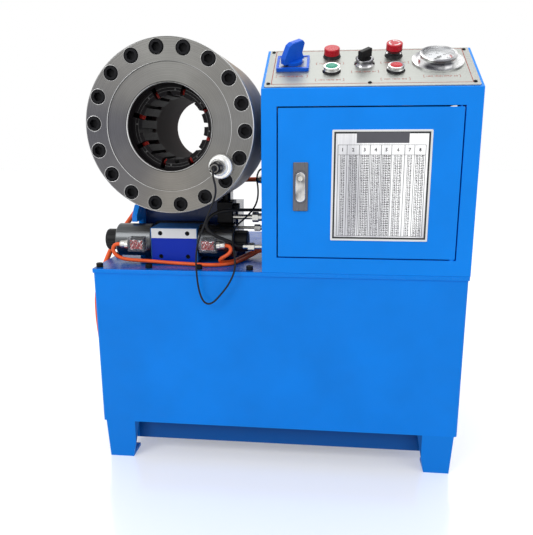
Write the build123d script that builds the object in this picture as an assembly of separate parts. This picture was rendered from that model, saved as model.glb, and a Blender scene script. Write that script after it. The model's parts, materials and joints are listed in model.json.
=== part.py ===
from build123d import *
import math
import os

# A hydraulic hose crimping machine.
# Row frame in millimetres: origin on the floor under the middle of the machine,
# X to the operator's right, Y towards the back, Z up.

# Base cabinet, its lid and the underframe
lid_width = 700.0
base_depth = 460.0
lid_thickness = 8.0
lid_overhang = 2.0
cabinet_height = 306.5
cabinet_wall = 3.0
cabinet_corner_radius = 5.0
rim_width = 26.0
rim_thickness = 5.0
leg_height = 78.0
leg_plate = 4.0
leg_depth = 58.0
leg_outer_inset_top = 8.0
leg_outer_inset_bottom = 13.0
leg_width_top = 68.0
leg_width_bottom = 48.0
leg_depth_bottom = 44.0
foot_thickness = 6.0
foot_hole_radius = 6.0
rail_setback = 25.0
rail_bottom = 31.0
rail_height = 36.0
rail_depth = 30.0
rail_wall = 4.0
filler_from_lid_left = 95.0
filler_from_lid_back = 65.0
filler_neck_radius = 20.0
filler_neck_height = 14.0
filler_flange_radius = 34.0
filler_flange_thickness = 4.0
filler_cap_radius = 27.0
filler_cap_height = 30.0
filler_cap_edge = 4.0
lid_bolt_radius = 4.0
lid_bolt_head_radius = 6.5
lid_bolt_head_height = 8.0
lid_bolt_inset_x = 10.0
lid_bolt_inset_y = 17.0
lid_bolt_columns = 8
lid_bolt_rows = 5
lid_edge_radius = 1.5
bolt_clearance = 0.2

# Control box on the lid: its places across are for its usual width, and follow its real one
box_from_head = 163.1
box_usual_width = 373.0
box_depth = 330.0
box_front_height = 324.0
box_top_height = 402.5
box_slope_depth = 133.5
box_sheet = 2.0
box_right_inset = 0.5
box_floor_flange = 20.0
slot_count = 7
slot_length = 80.0
slot_width = 5.0
slot_pitch = 18.0
slot_first_height = 230.0
slot_edge_distance = 50.0

# Door and its hardware
door_left_margin = 29.4
door_width = 314.0
door_bottom = 30.5
door_height = 261.8
door_gap = 2.5
door_sheet = 2.0
door_return = 18.0
frame_return = 22.0
hinge_pin_radius = 2.5
hinge_inset = 5.0
pin_clearance = 0.05
latch_from_door_left = 40.2
latch_height = 157.2
latch_plate_width = 26.5
latch_plate_height = 85.5
latch_plate_thickness = 3.0
latch_handle_width = 18.0
latch_handle_length = 53.0
latch_handle_thickness = 6.5
latch_spindle_radius = 5.0
latch_body_width = 20.0
latch_body_height = 62.0
latch_body_depth = 20.0
cam_length = 50.0
cam_width = 12.0
cam_thickness = 3.0
hinge_eye_height = 12.0
hinge_eye_radius = 6.0
hinge_pin_entry = 9.0
hinge_head_radius = 2.9
hinge_washer_radius = 4.5
data_plate_width = 170.0
data_plate_height = 193.0
data_plate_thickness = 1.5
data_plate_from_door_left = 94.2
data_plate_bottom = 62.3

# Sloping operator panel: places are x from the box's left side and distance up the slope
panel_margin = 5.0
panel_thickness = 2.0
button_hole_radius = 11.2
button_barrel_radius = 11.0
bezel_radius = 14.8
bezel_skirt = 4.5
bezel_height = 10.0
bezel_step = 0.8
barrel_below = 14.0
contact_height = 24.0
contact_width = 22.0
contact_length = 30.0
panel_corner_radius = 3.0
lens_edge = 2.0
selector_angle = 45.0
selector_bar_length = 26.0
selector_bar_width = 9.0
selector_bar_height = 15.0
button_column_left = 120.2
button_column_right = 232.0
selector_column = 178.5
front_row = 61.0
rear_row = 121.0
selector_row = 89.0
button_cap_radius = 10.6
button_travel = 4.0
lamp_radius = 14.2
lamp_height = 17.0
stop_cap_radius = 14.6
stop_cap_height = 13.0
stop_travel = 5.0
switch_x = 50.6
switch_row = 88.5
switch_plate_width = 58.5
switch_plate_length = 54.0
switch_plate_thickness = 6.0
switch_hub_radius = 17.0
switch_hub_height = 5.0
switch_blade_length = 46.0
switch_blade_width = 12.0
switch_blade_height = 32.0
switch_blade_angle = 42.0
switch_neck_radius = 14.0
switch_spindle_radius = 5.0
switch_body_depth = 45.0
switch_body_width = 44.0
gauge_x = 307.6
gauge_row = 95.4
gauge_flange_radius = 45.5
gauge_flange_thickness = 3.0
gauge_bezel_radius = 33.0
gauge_bezel_height = 15.0
gauge_can_radius = 30.0
gauge_can_depth = 34.0
gauge_wall = 2.0
dial_depth = 9.0
needle_length = 22.0
needle_hub_radius = 2.5
needle_rest_angle = 225.0

# Electrical gear and the motor-pump set inside the box
gear_plate_depth = 115.0
gear_plate_thickness = 2.0
gear_plate_top = 290.0
gear_plate_flange = 15.0
gear_plate_flange_low = 200.0
gear_reach = 52.0
contactor_span = (60.0, 105.0)
contactor_heights = (170.0, 250.0)
contactor_face = (6.0, 15.0)
contactor_recess = 12.0
overload_heights = (122.0, 169.7)
overload_setback = 4.0
timer_span = (125.0, 150.0)
timer_heights = (165.0, 245.0)
timer_setback = 6.0
transformer_span = (240.0, 315.0)
transformer_heights = (165.0, 230.0)
transformer_setback = 10.0
winding_inset = (17.0, 10.0)
terminal_span = (60.0, 300.0)
terminal_heights = (60.0, 100.0)
terminal_reach = 34.0
terminal_pitch = 12.0
terminal_gap = 2.0
terminal_gap_depth = 10.0
motor_from_box_left = 215.0
motor_depth = 222.0
motor_frame_radius = 68.0
motor_fin_radius = 80.0
motor_fin_count = 20
motor_flange_radius = 85.0
motor_flange_thickness = 12.0
motor_frame_height = 200.0
motor_bore_radius = 46.0
motor_shaft_radius = 12.0
rotor_radius = 45.5
cowl_radius = 82.0
cowl_height = 60.0
cowl_wall = 2.0
cowl_edge = 10.0
fan_radius = 64.0
fan_blades = 6
pump_spigot_radius = 40.0
bell_radius = 58.0
bell_length = 70.0
bell_wall = 6.0
pump_width = 90.0
pump_height = 84.0
suction_radius = 14.0
strainer_radius = 32.0
strainer_height = 70.0
strainer_offset = 85.0

# Crimping head: depths run back from the flange's outer face
head_from_lid_left = 163.4
head_over_valve = 37.7
head_overhang = 7.0
head_radius = 151.7
flange_thickness = 30.0
flange_recess_radius = 111.5
flange_recess = 2.5
bore_radius = 75.8
barrel_bore_radius = 120.0
barrel_length = 180.0
rear_flange_thickness = 28.0
bolt_circle_radius = 136.0
bolt_count = 18
bolt_first_angle = 97.0
cap_screw_radius = 8.0
cap_screw_head_radius = 12.0
cap_screw_head_height = 16.0
counterbore_radius = 13.0
counterbore_depth = 14.5
cap_screw_grip = 26.0
running_clearance = 0.05
slide_clearance = 0.3

# Dies, piston and guide sleeve
die_count = 8
die_clock = 4.5
die_tip_radius = 57.5
die_length = 92.0
die_gap = 8.4
die_travel = 10.5
taper_ratio = 0.25
keyway_width = 7.6
keyway_depth = 7.0
tongue_width = 12.0
tongue_inner_radius = 92.0
tongue_length = 13.0
tongue_height = 7.0
spring_radius = 5.5
spring_place_radius = 66.0
spring_place_depth = 21.0
spring_seat = 9.0
spring_entry = 5.0
piston_front_apothem = 95.0
piston_end_gap = 0.5
piston_front_gap = 1.0
taper_run_out = 3.0
sleeve_outer_radius = 70.0
sleeve_inner_radius = 61.0
sleeve_end_depth = 302.0
sleeve_die_gap = 1.7
seal_width = 6.0
seal_depth = 5.0

# Pedestal, valve and hydraulic connections, placed from the lid's front edge
pedestal_half_width = 98.0
pedestal_front = 144.0
pedestal_depth = 80.0
shoulder_over_underside = 1.3
pedestal_plate = 10.0
gusset_front = 86.0
gusset_stem = 18.0
gusset_underside = 78.0
saddle_half_width = 75.0
saddle_rise = 18.0
foot_reach = 14.0
valve_left_x = -250.0
valve_width = 93.0
valve_front = 60.0
valve_depth = 62.0
valve_bottom = 3.0
valve_height = 68.0
valve_bolt_spacing_x = 54.0
valve_bolt_spacing_z = 46.0
valve_bolt_hole_radius = 4.5
valve_bolt_hole_depth = 12.0
subplate_depth = 22.0
subplate_margin = 8.0
solenoid_radius = 32.5
solenoid_axis_height = 42.0
solenoid_axis_depth = 89.0
solenoid_length = 72.0
solenoid_cap_radius = 21.0
solenoid_cap_length = 25.0
plug_width = 34.0
plug_height = 28.0
plug_depth = 17.0
plug_gland_radius = 7.0
plug_gland_length = 16.0
plug_offset = 24.0
plug_back_depth = 55.5
plug_axis_height = 40.0
port_block_left = -124.0
port_block_right = -92.0
port_block_depth = 46.0
port_block_over_underside = 9.3
port_block_step = 76.0
port_block_bottom = 52.0
port_block_foot_depth = 18.0
port_plug_radius = 6.5
port_plug_length = 10.0
port_plug_from_top = 12.0
port_nipple_radius = 8.0
pressure_pipe_depth = 104.0
pressure_pipe_height = 88.0
pressure_pipe_radius = 5.0
pressure_nut_radius = 9.0
return_pipe_depth = 134.0
return_pipe_height = 62.0
return_pipe_radius = 3.0
return_nut_radius = 6.0
nut_length = 12.0
nut_from_wall = 30.0
nut_rim = 2.0
gauge_union_radius = 4.5
gauge_union_reach = 42.5
gauge_nut_radius = 7.0
grommet_reach = 8.0
grommet_wall = 2.5

# Closing-stop adjuster on the front flange
stop_x = 94.6
stop_z = 66.9
stop_base_radius = 13.0
stop_base_length = 4.0
spindle_radius = 8.0
thimble_radius = 21.0
thimble_length = 20.0
thimble_step_radius = 15.0
thimble_step_length = 14.0
stop_collar_radius = 11.5
stop_collar_length = 18.0
gland_length = 18.0
gland_across_flats = 19.0
rod_radius = 4.0
rod_travel = 5.0
rod_end_gap = 1.5

# Cords: places are x, depth behind the lid's front edge and height over the lid
power_cord_diameter = 10.5
solenoid_cable_diameter = 7.2
sensor_cable_diameter = 3.4
gauge_hose_diameter = 6.3

power_gland_radius = 12.0
power_gland_tip_radius = 7.5
power_gland_length = 40.0
coil_place = (-215.0, 560.0)
coil_middle_radius = 57.5
coil_layers = 2
coil_turns_per_layer = 2
coil_edge = 3.0
plug_from_coil = 60.0
plug_tail_radius = 7.5
plug_tail_length = 30.0
plug_grip_radius = 20.0
plug_grip_length = 55.0
plug_shroud_radius = 24.0
plug_shroud_length = 42.0
plug_shroud_wall = 3.0
plug_pin_radius = 2.5
plug_pin_circle = 11.5
plug_pin_length = 36.0
POWER_ROUTE = [
    (-63.5, 262.0, 150.0), (-118.5, 262.0, 150.0), (-172.4, 261.7, 136.6), (-225.6, 254.1, 125.1),
    (-272.3, 226.2, 121.9), (-303.2, 184.6, 107.2), (-327.8, 156.1, 67.4), (-350.4, 125.3, 28.0),
    (-360.9, 91.4, -13.8), (-365.1, 56.0, -55.5), (-366.1, 32.6, -105.3), (-366.0, 29.8, -159.5),
    (-365.4, 44.7, -212.5), (-364.4, 69.3, -261.6), (-363.8, 103.3, -304.8),
    (-363.0, 145.3, -340.2), (-361.8, 193.7, -366.4), (-359.4, 246.5, -381.5),
    (-356.4, 301.2, -386.7), (-353.7, 356.2, -387.3), (-350.7, 411.2, -387.1),
    (-343.6, 465.8, -387.2), (-326.3, 518.0, -387.2), (-297.7, 564.8, -387.2),
    (-259.4, 604.4, -387.2),
]
LEFT_COIL_ROUTE = [
    (-307.0, 47.0, 40.0), (-316.8, 47.0, 40.0), (-322.3, 46.9, 33.8), (-322.9, 46.5, 26.7),
    (-318.0, 46.0, 18.0), (-304.4, 46.1, 10.4), (-280.3, 48.1, 7.8), (-252.2, 50.4, 6.3),
    (-224.0, 49.3, 4.6), (-195.8, 46.4, 3.7), (-168.0, 41.4, 3.6), (-140.1, 36.7, 3.6),
    (-112.0, 38.1, 3.6), (-88.5, 52.8, 3.6), (-76.5, 77.7, 3.6), (-67.3, 104.1, 4.4),
    (-54.1, 119.1, 9.4), (-42.8, 124.0, 16.0), (-31.5, 124.0, 16.0),
]
RIGHT_COIL_ROUTE = [
    (-100.0, 47.0, 40.0), (-92.9, 47.0, 40.0), (-88.3, 45.4, 35.1), (-88.7, 43.2, 29.1),
    (-93.6, 41.4, 23.6), (-102.9, 40.8, 18.2), (-109.1, 42.3, 13.8), (-110.1, 46.4, 9.5),
    (-105.9, 52.2, 6.5), (-97.4, 60.7, 4.3), (-88.6, 77.4, 3.6), (-83.4, 100.8, 3.5),
    (-73.7, 122.5, 4.6), (-59.2, 138.6, 9.3), (-46.9, 146.0, 16.0), (-31.5, 146.0, 16.0),
]
SENSOR_ROUTE = [
    (-92.0, -81.6, 193.5), (-92.0, -88.0, 193.5), (-92.0, -92.6, 188.4), (-91.9, -93.9, 182.1),
    (-91.2, -91.1, 175.0), (-90.4, -83.7, 165.8), (-92.3, -71.3, 151.9), (-100.4, -53.7, 135.1),
    (-111.0, -39.5, 116.0), (-121.7, -27.7, 95.3), (-132.2, -18.6, 73.3), (-141.1, -13.1, 49.4),
    (-144.3, -11.5, 23.7), (-143.6, -11.5, -2.4), (-141.4, -11.5, -27.7), (-137.1, -11.5, -45.3),
    (-131.9, -11.5, -55.5), (-126.0, -11.5, -59.8), (-119.5, -11.5, -59.7), (-111.1, -11.5, -54.8),
    (-100.8, -11.5, -43.2), (-85.9, -11.5, -24.7), (-74.0, -11.0, -1.7), (-71.3, -7.3, 17.4),
    (-75.4, 5.1, 33.2), (-81.0, 25.9, 48.0), (-85.0, 45.4, 63.6), (-79.1, 60.6, 78.1),
    (-61.4, 73.4, 91.8), (-45.6, 80.0, 110.7), (-40.2, 86.4, 128.2), (-41.4, 97.4, 147.5),
    (-45.0, 103.9, 162.5), (-43.5, 107.7, 173.0), (-38.7, 110.0, 182.0), (-31.5, 110.0, 182.0),
]
HOSE_ROUTE = [
    (-31.5, 88.0, 104.0), (-59.8, 88.0, 104.0), (-87.4, 74.2, 105.1), (-113.2, 63.4, 103.7),
    (-128.8, 54.0, 95.4), (-135.0, 48.0, 85.8), (-135.6, 45.3, 77.4), (-130.3, 44.0, 68.4),
    (-117.6, 45.9, 58.4), (-99.6, 48.8, 51.0), (-87.7, 50.1, 45.8), (-78.5, 56.0, 37.0),
    (-66.0, 56.0, 37.0),
]

# Values worked out from the sizes above
stop_gap = 0.3
stop_reach = (stop_base_length + thimble_length + thimble_step_length + 2.0 * stop_gap
              + stop_collar_length + gland_length)
lid_front_y = (head_overhang + stop_reach - base_depth) / 2.0
lid_back_y = lid_front_y + base_depth
lid_left_x = -lid_width / 2.0
lid_bottom_z = leg_height + cabinet_height
lid_top_z = lid_bottom_z + lid_thickness
box_right_x = lid_width / 2.0 - box_right_inset
head_x = lid_left_x + head_from_lid_left
box_left_x = head_x + box_from_head
box_width = box_right_x - box_left_x
box_scale = box_width / box_usual_width
head_height = valve_bottom + valve_height + head_over_valve + head_radius
barrel_underside = head_height - head_radius
head_y = lid_front_y - head_overhang
head_z = lid_top_z + head_height
door_left_x = box_left_x + door_left_margin * box_scale
door_right_x = door_left_x + door_width * box_scale
latch_x = door_left_x + latch_from_door_left * box_scale
door_bottom_z = lid_top_z + door_bottom
door_top_z = door_bottom_z + door_height
pedestal_shoulder = barrel_underside + shoulder_over_underside
port_block_top = barrel_underside + port_block_over_underside
port_plug_height = port_block_top - port_plug_from_top
piston_stroke = die_travel / taper_ratio
rear_flange_front = flange_thickness + barrel_length
head_depth = rear_flange_front + rear_flange_thickness
motor_x = box_left_x + motor_from_box_left * box_scale
motor_y = lid_front_y + motor_depth
die_front = flange_thickness + slide_clearance
die_back = die_front + die_length
piston_front = flange_thickness + piston_front_gap + piston_stroke
piston_back = rear_flange_front - piston_end_gap
taper_length = die_back - (piston_front - piston_stroke) + taper_run_out
rod_tip_depth = piston_front - piston_stroke - rod_end_gap - rod_travel
rod_tail = stop_base_length + thimble_length
GROMMET_CORDS = [
    (LEFT_COIL_ROUTE[-1], solenoid_cable_diameter),
    (RIGHT_COIL_ROUTE[-1], solenoid_cable_diameter),
    (SENSOR_ROUTE[-1], sensor_cable_diameter),
    (HOSE_ROUTE[0], gauge_hose_diameter),
]

LOW = (Align.CENTER, Align.CENTER, Align.MIN)


def block(x0, x1, y0, y1, z0, z1):
    """A box between two corners."""
    return Pos((x0 + x1) / 2, (y0 + y1) / 2, (z0 + z1) / 2) * Box(x1 - x0, y1 - y0, z1 - z0)


def post(radius, z0, z1):
    """A round post along Z."""
    return Pos(0, 0, z0) * Cylinder(radius, z1 - z0, align=LOW)


def bar_x(radius, x0, x1, y, z):
    """A round bar along X."""
    return Pos(x0, y, z) * Rot(0, 90, 0) * Cylinder(radius, x1 - x0, align=LOW)


def bar_y(radius, x, y0, y1, z):
    """A round bar along Y."""
    return Pos(x, y0, z) * Rot(-90, 0, 0) * Cylinder(radius, y1 - y0, align=LOW)


def over_lid(x, depth, height):
    """A point given by its depth behind the lid's front edge and its height over the lid."""
    return (x, lid_front_y + depth, lid_top_z + height)


def lid_block(x0, x1, d0, d1, h0, h1):
    """A box placed by depth behind the lid's front edge and height over the lid."""
    return block(x0, x1, lid_front_y + d0, lid_front_y + d1, lid_top_z + h0, lid_top_z + h1)


# Head frame: local x and y lie in the flange's face, local z comes forward out of it.
head_plane = Plane(origin=(head_x, head_y, head_z), x_dir=(1, 0, 0), z_dir=(0, -1, 0))


def ring(outer, inner, front, back):
    """A ring round the head's axis between two depths, in the head frame."""
    return post(outer, -back, -front) - post(inner, -back - 1, -front + 1)


# Panel frame: local x runs from the box's left side, local y up the slope, local z out of it.
slope_angle = math.atan2(box_top_height - box_front_height, box_slope_depth)
slope_length = math.hypot(box_top_height - box_front_height, box_slope_depth)
panel_normal = (0, -math.sin(slope_angle), math.cos(slope_angle))
panel_plane = Plane(origin=(box_left_x, lid_front_y, lid_top_z + box_front_height),
                    x_dir=(1, 0, 0), z_dir=panel_normal)
panel_top = panel_thickness
gauge_middle = gauge_x * box_scale
switch_middle = switch_x * box_scale
BUTTON_PLACES = {
    "green": (button_column_left * box_scale, front_row),
    "lamp": (button_column_left * box_scale, rear_row),
    "selector": (selector_column * box_scale, selector_row),
    "red": (button_column_right * box_scale, front_row),
    "stop": (button_column_right * box_scale, rear_row),
}


def make_base_cabinet():
    """Folded sheet cabinet with an inward rim that takes the lid's bolts."""
    width = lid_width - 2 * lid_overhang
    depth = base_depth - 2 * lid_overhang
    outer = Pos(0, 0, leg_height) * Box(width, depth, cabinet_height, align=LOW)
    outer = Pos(0, lid_front_y + base_depth / 2, 0) * outer
    outer = fillet(outer.edges().filter_by(Axis.Z), cabinet_corner_radius)
    y0 = lid_front_y + lid_overhang
    y1 = lid_back_y - lid_overhang
    hollow = block(-width / 2 + cabinet_wall, width / 2 - cabinet_wall, y0 + cabinet_wall,
                   y1 - cabinet_wall, leg_height + cabinet_wall, lid_bottom_z - rim_thickness)
    mouth = block(-width / 2 + rim_width, width / 2 - rim_width, y0 + rim_width,
                  y1 - rim_width, lid_bottom_z - rim_thickness - 1, lid_bottom_z + 1)
    shell = outer - hollow - mouth
    for x, y in lid_bolt_places():
        shell -= Pos(x, y, lid_bottom_z - rim_thickness - 1) * Cylinder(
            lid_bolt_radius + bolt_clearance, rim_thickness + 2, align=LOW)
    return shell


def lid_bolt_places():
    """Bolt places round the lid, apart from those that the control box covers."""
    places = []
    pitch_x = (lid_width - 2 * lid_bolt_inset_x) / (lid_bolt_columns - 1)
    pitch_y = (base_depth - 2 * lid_bolt_inset_y) / (lid_bolt_rows - 1)
    for column in range(lid_bolt_columns):
        x = lid_left_x + lid_bolt_inset_x + column * pitch_x
        for row in range(lid_bolt_rows):
            y = lid_front_y + lid_bolt_inset_y + row * pitch_y
            on_edge = column in (0, lid_bolt_columns - 1) or row in (0, lid_bolt_rows - 1)
            under_box = x > box_left_x - 10 and y < lid_front_y + box_depth + 10
            if on_edge and not under_box:
                places.append((x, y))
    return places


def make_base_lid():
    """Thick lid plate with its bolt holes, the pump's opening and the filler's hole."""
    lid = Pos(0, lid_front_y + base_depth / 2, lid_bottom_z) * Box(
        lid_width, base_depth, lid_thickness, align=LOW)
    lid = fillet(lid.edges().filter_by(Axis.Z), cabinet_corner_radius)
    lid = fillet(lid.edges().group_by(Axis.Z)[-1], lid_edge_radius)
    holes = [Pos(x, y, lid_bottom_z - 1) * Cylinder(lid_bolt_radius + bolt_clearance,
                                                   lid_thickness + 2, align=LOW)
             for x, y in lid_bolt_places()]
    lid -= holes
    lid -= Pos(motor_x, motor_y, lid_bottom_z - 1) * Cylinder(
        pump_spigot_radius + 0.5, lid_thickness + 2, align=LOW)
    return lid


def make_lid_bolts():
    """Socket-head screws round the lid."""
    shank_end = lid_bottom_z - rim_thickness - 6
    bolts = []
    for x, y in lid_bolt_places():
        bolt = post(lid_bolt_radius, shank_end, lid_top_z)
        bolt += post(lid_bolt_head_radius, lid_top_z, lid_top_z + lid_bolt_head_height)
        bolts.append(Pos(x, y, 0) * bolt)
    return bolts


def make_leg(side, end_y, inward_y):
    """One leg: a tapered angle, open to the inside, with a drilled foot plate."""
    def corner_profile(z, inset, width, depth):
        x_out = side * (lid_width / 2 - inset)
        x_in = x_out - side * width
        y_in = end_y + inward_y * depth
        wall = leg_plate
        points = [(x_out, end_y), (x_in, end_y), (x_in, end_y + inward_y * wall),
                  (x_out - side * wall, end_y + inward_y * wall),
                  (x_out - side * wall, y_in), (x_out, y_in)]
        return Plane.XY.offset(z) * make_face(Polyline(*points, close=True))

    top = corner_profile(leg_height, leg_outer_inset_top, leg_width_top, leg_depth)
    bottom = corner_profile(0, leg_outer_inset_bottom, leg_width_bottom, leg_depth_bottom)
    angle = loft([bottom, top], ruled=True)
    x_out = side * (lid_width / 2 - leg_outer_inset_bottom - 1)
    x_in = x_out - side * (leg_width_bottom - 1)
    y_in = end_y + inward_y * leg_depth_bottom
    y_out = end_y + inward_y * 1
    foot = block(min(x_out, x_in), max(x_out, x_in), min(y_out, y_in), max(y_out, y_in),
                 0, foot_thickness)
    hole_x = side * (lid_width / 2 - leg_outer_inset_bottom - leg_width_bottom / 2)
    hole_y = end_y + inward_y * leg_depth_bottom / 2
    foot -= Pos(hole_x, hole_y, -1) * Cylinder(foot_hole_radius, foot_thickness + 2, align=LOW)
    return angle + foot


def make_underframe():
    """Four legs welded to a channel rail at the front and another at the back."""
    front_y = lid_front_y + lid_overhang
    back_y = lid_back_y - lid_overhang
    frame = None
    for side in (-1, 1):
        for end_y, inward in ((front_y, 1), (back_y, -1)):
            leg = make_leg(side, end_y, inward)
            frame = leg if frame is None else frame + leg
    reach = lid_width / 2 - leg_outer_inset_top - leg_plate
    for end_y, inward in ((front_y, 1), (back_y, -1)):
        near = end_y + inward * rail_setback
        far = near + inward * rail_depth
        y0, y1 = min(near, far), max(near, far)
        rail = block(-reach, reach, y0, y1, rail_bottom, rail_bottom + rail_height)
        gutter = block(-reach - 1, reach + 1, y0 + rail_wall, y1 - rail_wall,
                       rail_bottom + rail_wall, rail_bottom + rail_height + 1)
        frame += rail - gutter
    return frame


def make_filler_breather():
    """Filler neck with a vented cap, behind the head."""
    x, y = lid_left_x + filler_from_lid_left, lid_back_y - filler_from_lid_back
    neck = post(filler_neck_radius, lid_top_z, lid_top_z + filler_neck_height)
    flange = post(filler_flange_radius, lid_top_z, lid_top_z + filler_flange_thickness)
    cap_low = lid_top_z + filler_neck_height
    cap = post(filler_cap_radius, cap_low, cap_low + filler_cap_height)
    cap = fillet(cap.edges().group_by(Axis.Z)[-1], filler_cap_edge)
    return Pos(x, y, 0) * (neck + flange + cap)


def box_profile(inset):
    """The control box's side view, offset inwards by a sheet thickness."""
    depth_shift = inset * math.tan((math.pi / 2 - slope_angle) / 2)
    top_shift = inset * math.tan(slope_angle / 2)
    points = [
        over_lid(0, inset, inset),
        over_lid(0, inset, box_front_height - depth_shift),
        over_lid(0, box_slope_depth + top_shift, box_top_height - inset),
        over_lid(0, box_depth - inset, box_top_height - inset),
        over_lid(0, box_depth - inset, inset),
    ]
    return make_face(Polyline(*points, close=True))


def make_control_box():
    """Sheet box with a framed door opening, a sloping top and cooling slots."""
    shell = extrude(box_profile(0), box_width, dir=(1, 0, 0))
    shell = Pos(box_left_x, 0, 0) * shell
    hollow = extrude(box_profile(box_sheet), box_width - 2 * box_sheet, dir=(1, 0, 0))
    shell -= Pos(box_left_x + box_sheet, 0, 0) * hollow
    shell -= lid_block(box_left_x + box_floor_flange, box_right_x - box_floor_flange,
                       box_floor_flange, box_depth - box_floor_flange, -1, box_sheet + 1)
    x0, x1 = door_left_x - door_gap, door_right_x + door_gap
    z0, z1 = door_bottom_z - door_gap, door_top_z + door_gap
    sheet = box_sheet
    collar = block(x0 - sheet, x1 + sheet, lid_front_y, lid_front_y + frame_return,
                   z0 - sheet, z1 + sheet)
    shell += collar
    shell -= block(x0, x1, lid_front_y - 1, lid_front_y + frame_return + 1, z0, z1)
    for z_low in (z0 - sheet - 1, z1 - 1):
        shell -= Pos(door_right_x - hinge_inset, lid_front_y + hinge_inset, z_low) * Cylinder(
            hinge_pin_radius + pin_clearance, sheet + 2, align=LOW)
    for x, row in BUTTON_PLACES.values():
        shell -= panel_plane * Pos(x, row, -10) * Cylinder(button_hole_radius, 20, align=LOW)
    shell -= panel_plane * Pos(gauge_middle, gauge_row, -10) * Cylinder(
        gauge_can_radius + 1, 20, align=LOW)
    shell -= panel_plane * Pos(switch_middle, switch_row, -10) * Cylinder(
        switch_neck_radius + 1, 20, align=LOW)
    for index in range(slot_count):
        z = lid_top_z + slot_first_height + index * slot_pitch
        y = lid_front_y + box_depth - slot_length / 2 - slot_edge_distance
        shell -= Pos(box_right_x, y, z) * Box(10, slot_length, slot_width)
        for x in (box_left_x + box_width * 0.3, box_left_x + box_width * 0.7):
            shell -= Pos(x, lid_front_y + box_depth, z) * Box(slot_length, 10, slot_width)
    for depth, height, radius in wall_outlets():
        shell -= bar_x(radius, box_left_x - 5, box_left_x + 5, lid_front_y + depth,
                       lid_top_z + height)
    return shell


def wall_outlets():
    """Depth, height and radius of each hole in the box's left wall."""
    outlets = [
        (pressure_pipe_depth, pressure_pipe_height, pressure_pipe_radius),
        (return_pipe_depth, return_pipe_height, return_pipe_radius),
        (HOSE_ROUTE[-1][1], HOSE_ROUTE[-1][2], gauge_union_radius),
        (POWER_ROUTE[0][1], POWER_ROUTE[0][2], power_gland_tip_radius),
    ]
    for route, diameter in GROMMET_CORDS:
        outlets.append((route[1], route[2], diameter / 2 + grommet_wall))
    return outlets


def make_control_panel():
    """Brushed plate on the slope with the cut-outs of what it carries."""
    width = box_width - 2 * panel_margin
    length = slope_length - 2 * panel_margin + 3
    plate = Pos(box_width / 2, slope_length / 2, 0) * Box(width, length, panel_thickness,
                                                          align=LOW)
    plate = fillet(plate.edges().filter_by(Axis.Z), panel_corner_radius)
    for x, row in BUTTON_PLACES.values():
        plate -= Pos(x, row, -1) * Cylinder(button_hole_radius, 5, align=LOW)
    plate -= Pos(gauge_middle, gauge_row, -1) * Cylinder(gauge_can_radius + 1, 5, align=LOW)
    plate -= Pos(switch_middle, switch_row, -1) * Cylinder(switch_neck_radius + 1, 5, align=LOW)
    return panel_plane * plate


def make_panel_bezels():
    """Ring, barrel and rear contact block of each push button, lamp and selector."""
    bezels = []
    for name, (x, row) in BUTTON_PLACES.items():
        skirt = post(bezel_radius, panel_top, panel_top + bezel_skirt)
        height = bezel_height if name in ("green", "red", "selector") else bezel_skirt + 1
        collar = post(bezel_radius - bezel_step, panel_top + bezel_skirt, panel_top + height)
        barrel = post(button_barrel_radius, -barrel_below, panel_top)
        contact = Pos(0, 0, -barrel_below - contact_height) * Box(
            contact_width, contact_length, contact_height, align=LOW)
        body = skirt + collar + barrel + contact
        body -= post(button_cap_radius + slide_clearance, panel_top - 8, panel_top + 40)
        bezels.append(panel_plane * Pos(x, row, 0) * body)
    return bezels


def make_pilot_lamp():
    """Domed lamp lens over its bezel, with the stem that holds it."""
    x, row = BUTTON_PLACES["lamp"]
    base = panel_top + bezel_skirt + 1
    lens = post(lamp_radius, base, panel_top + lamp_height)
    lens = fillet(lens.edges().group_by(Axis.Z)[-1], lens_edge)
    stem = post(button_cap_radius, panel_top - 8, base)
    return panel_plane * Pos(x, row, 0) * (lens + stem)


def make_flush_button(name):
    """Flush push button: a cap guided in its barrel."""
    x, row = BUTTON_PLACES[name]
    cap = post(button_cap_radius, panel_top - 8 + button_travel + 0.5, panel_top + bezel_height + 0.6)
    cap = fillet(cap.edges().group_by(Axis.Z)[-1], 0.8)
    return panel_plane * Pos(x, row, 0) * cap


def make_stop_button():
    """Raised stop button: a wide cap on a stem."""
    x, row = BUTTON_PLACES["stop"]
    base = panel_top + bezel_skirt + 1 + stop_travel + slide_clearance
    cap = post(stop_cap_radius, base, base + stop_cap_height)
    cap = fillet(cap.edges().group_by(Axis.Z)[-1], 1.5)
    stem = post(button_cap_radius, panel_top - 8 + stop_travel + 0.5, base)
    return panel_plane * Pos(x, row, 0) * (cap + stem)


def make_selector_knob():
    """Rotary selector: a round hub with a pointer bar across it."""
    x, row = BUTTON_PLACES["selector"]
    top = panel_top + bezel_height
    hub = post(button_cap_radius, panel_top - 7.5, top + 1.5)
    pointer = Pos(0, 0, top + 1.5) * Box(selector_bar_length, selector_bar_width,
                                        selector_bar_height, align=LOW)
    pointer = fillet(pointer.edges().group_by(Axis.Z)[-1], 1.5)
    return panel_plane * Pos(x, row, 0) * Rot(0, 0, selector_angle) * (hub + pointer)


def make_switch_plate():
    """Square escutcheon of the main switch with its neck and rear body."""
    plate = Pos(0, 0, panel_top) * Box(switch_plate_width, switch_plate_length,
                                       switch_plate_thickness, align=LOW)
    plate = fillet(plate.edges().filter_by(Axis.Z), 3)
    recess = Pos(0, 0, panel_top + switch_plate_thickness - 1.5) * Box(
        switch_plate_width - 8, switch_plate_length - 8, 5, align=LOW)
    neck = post(switch_neck_radius, -6, panel_top)
    body = Pos(0, 0, -6 - switch_body_depth) * Box(switch_body_width, switch_body_width,
                                                   switch_body_depth, align=LOW)
    whole = plate - recess + neck + body
    whole -= post(switch_spindle_radius + running_clearance, -4, panel_top + 20)
    return panel_plane * Pos(switch_middle, switch_row, 0) * whole


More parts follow.
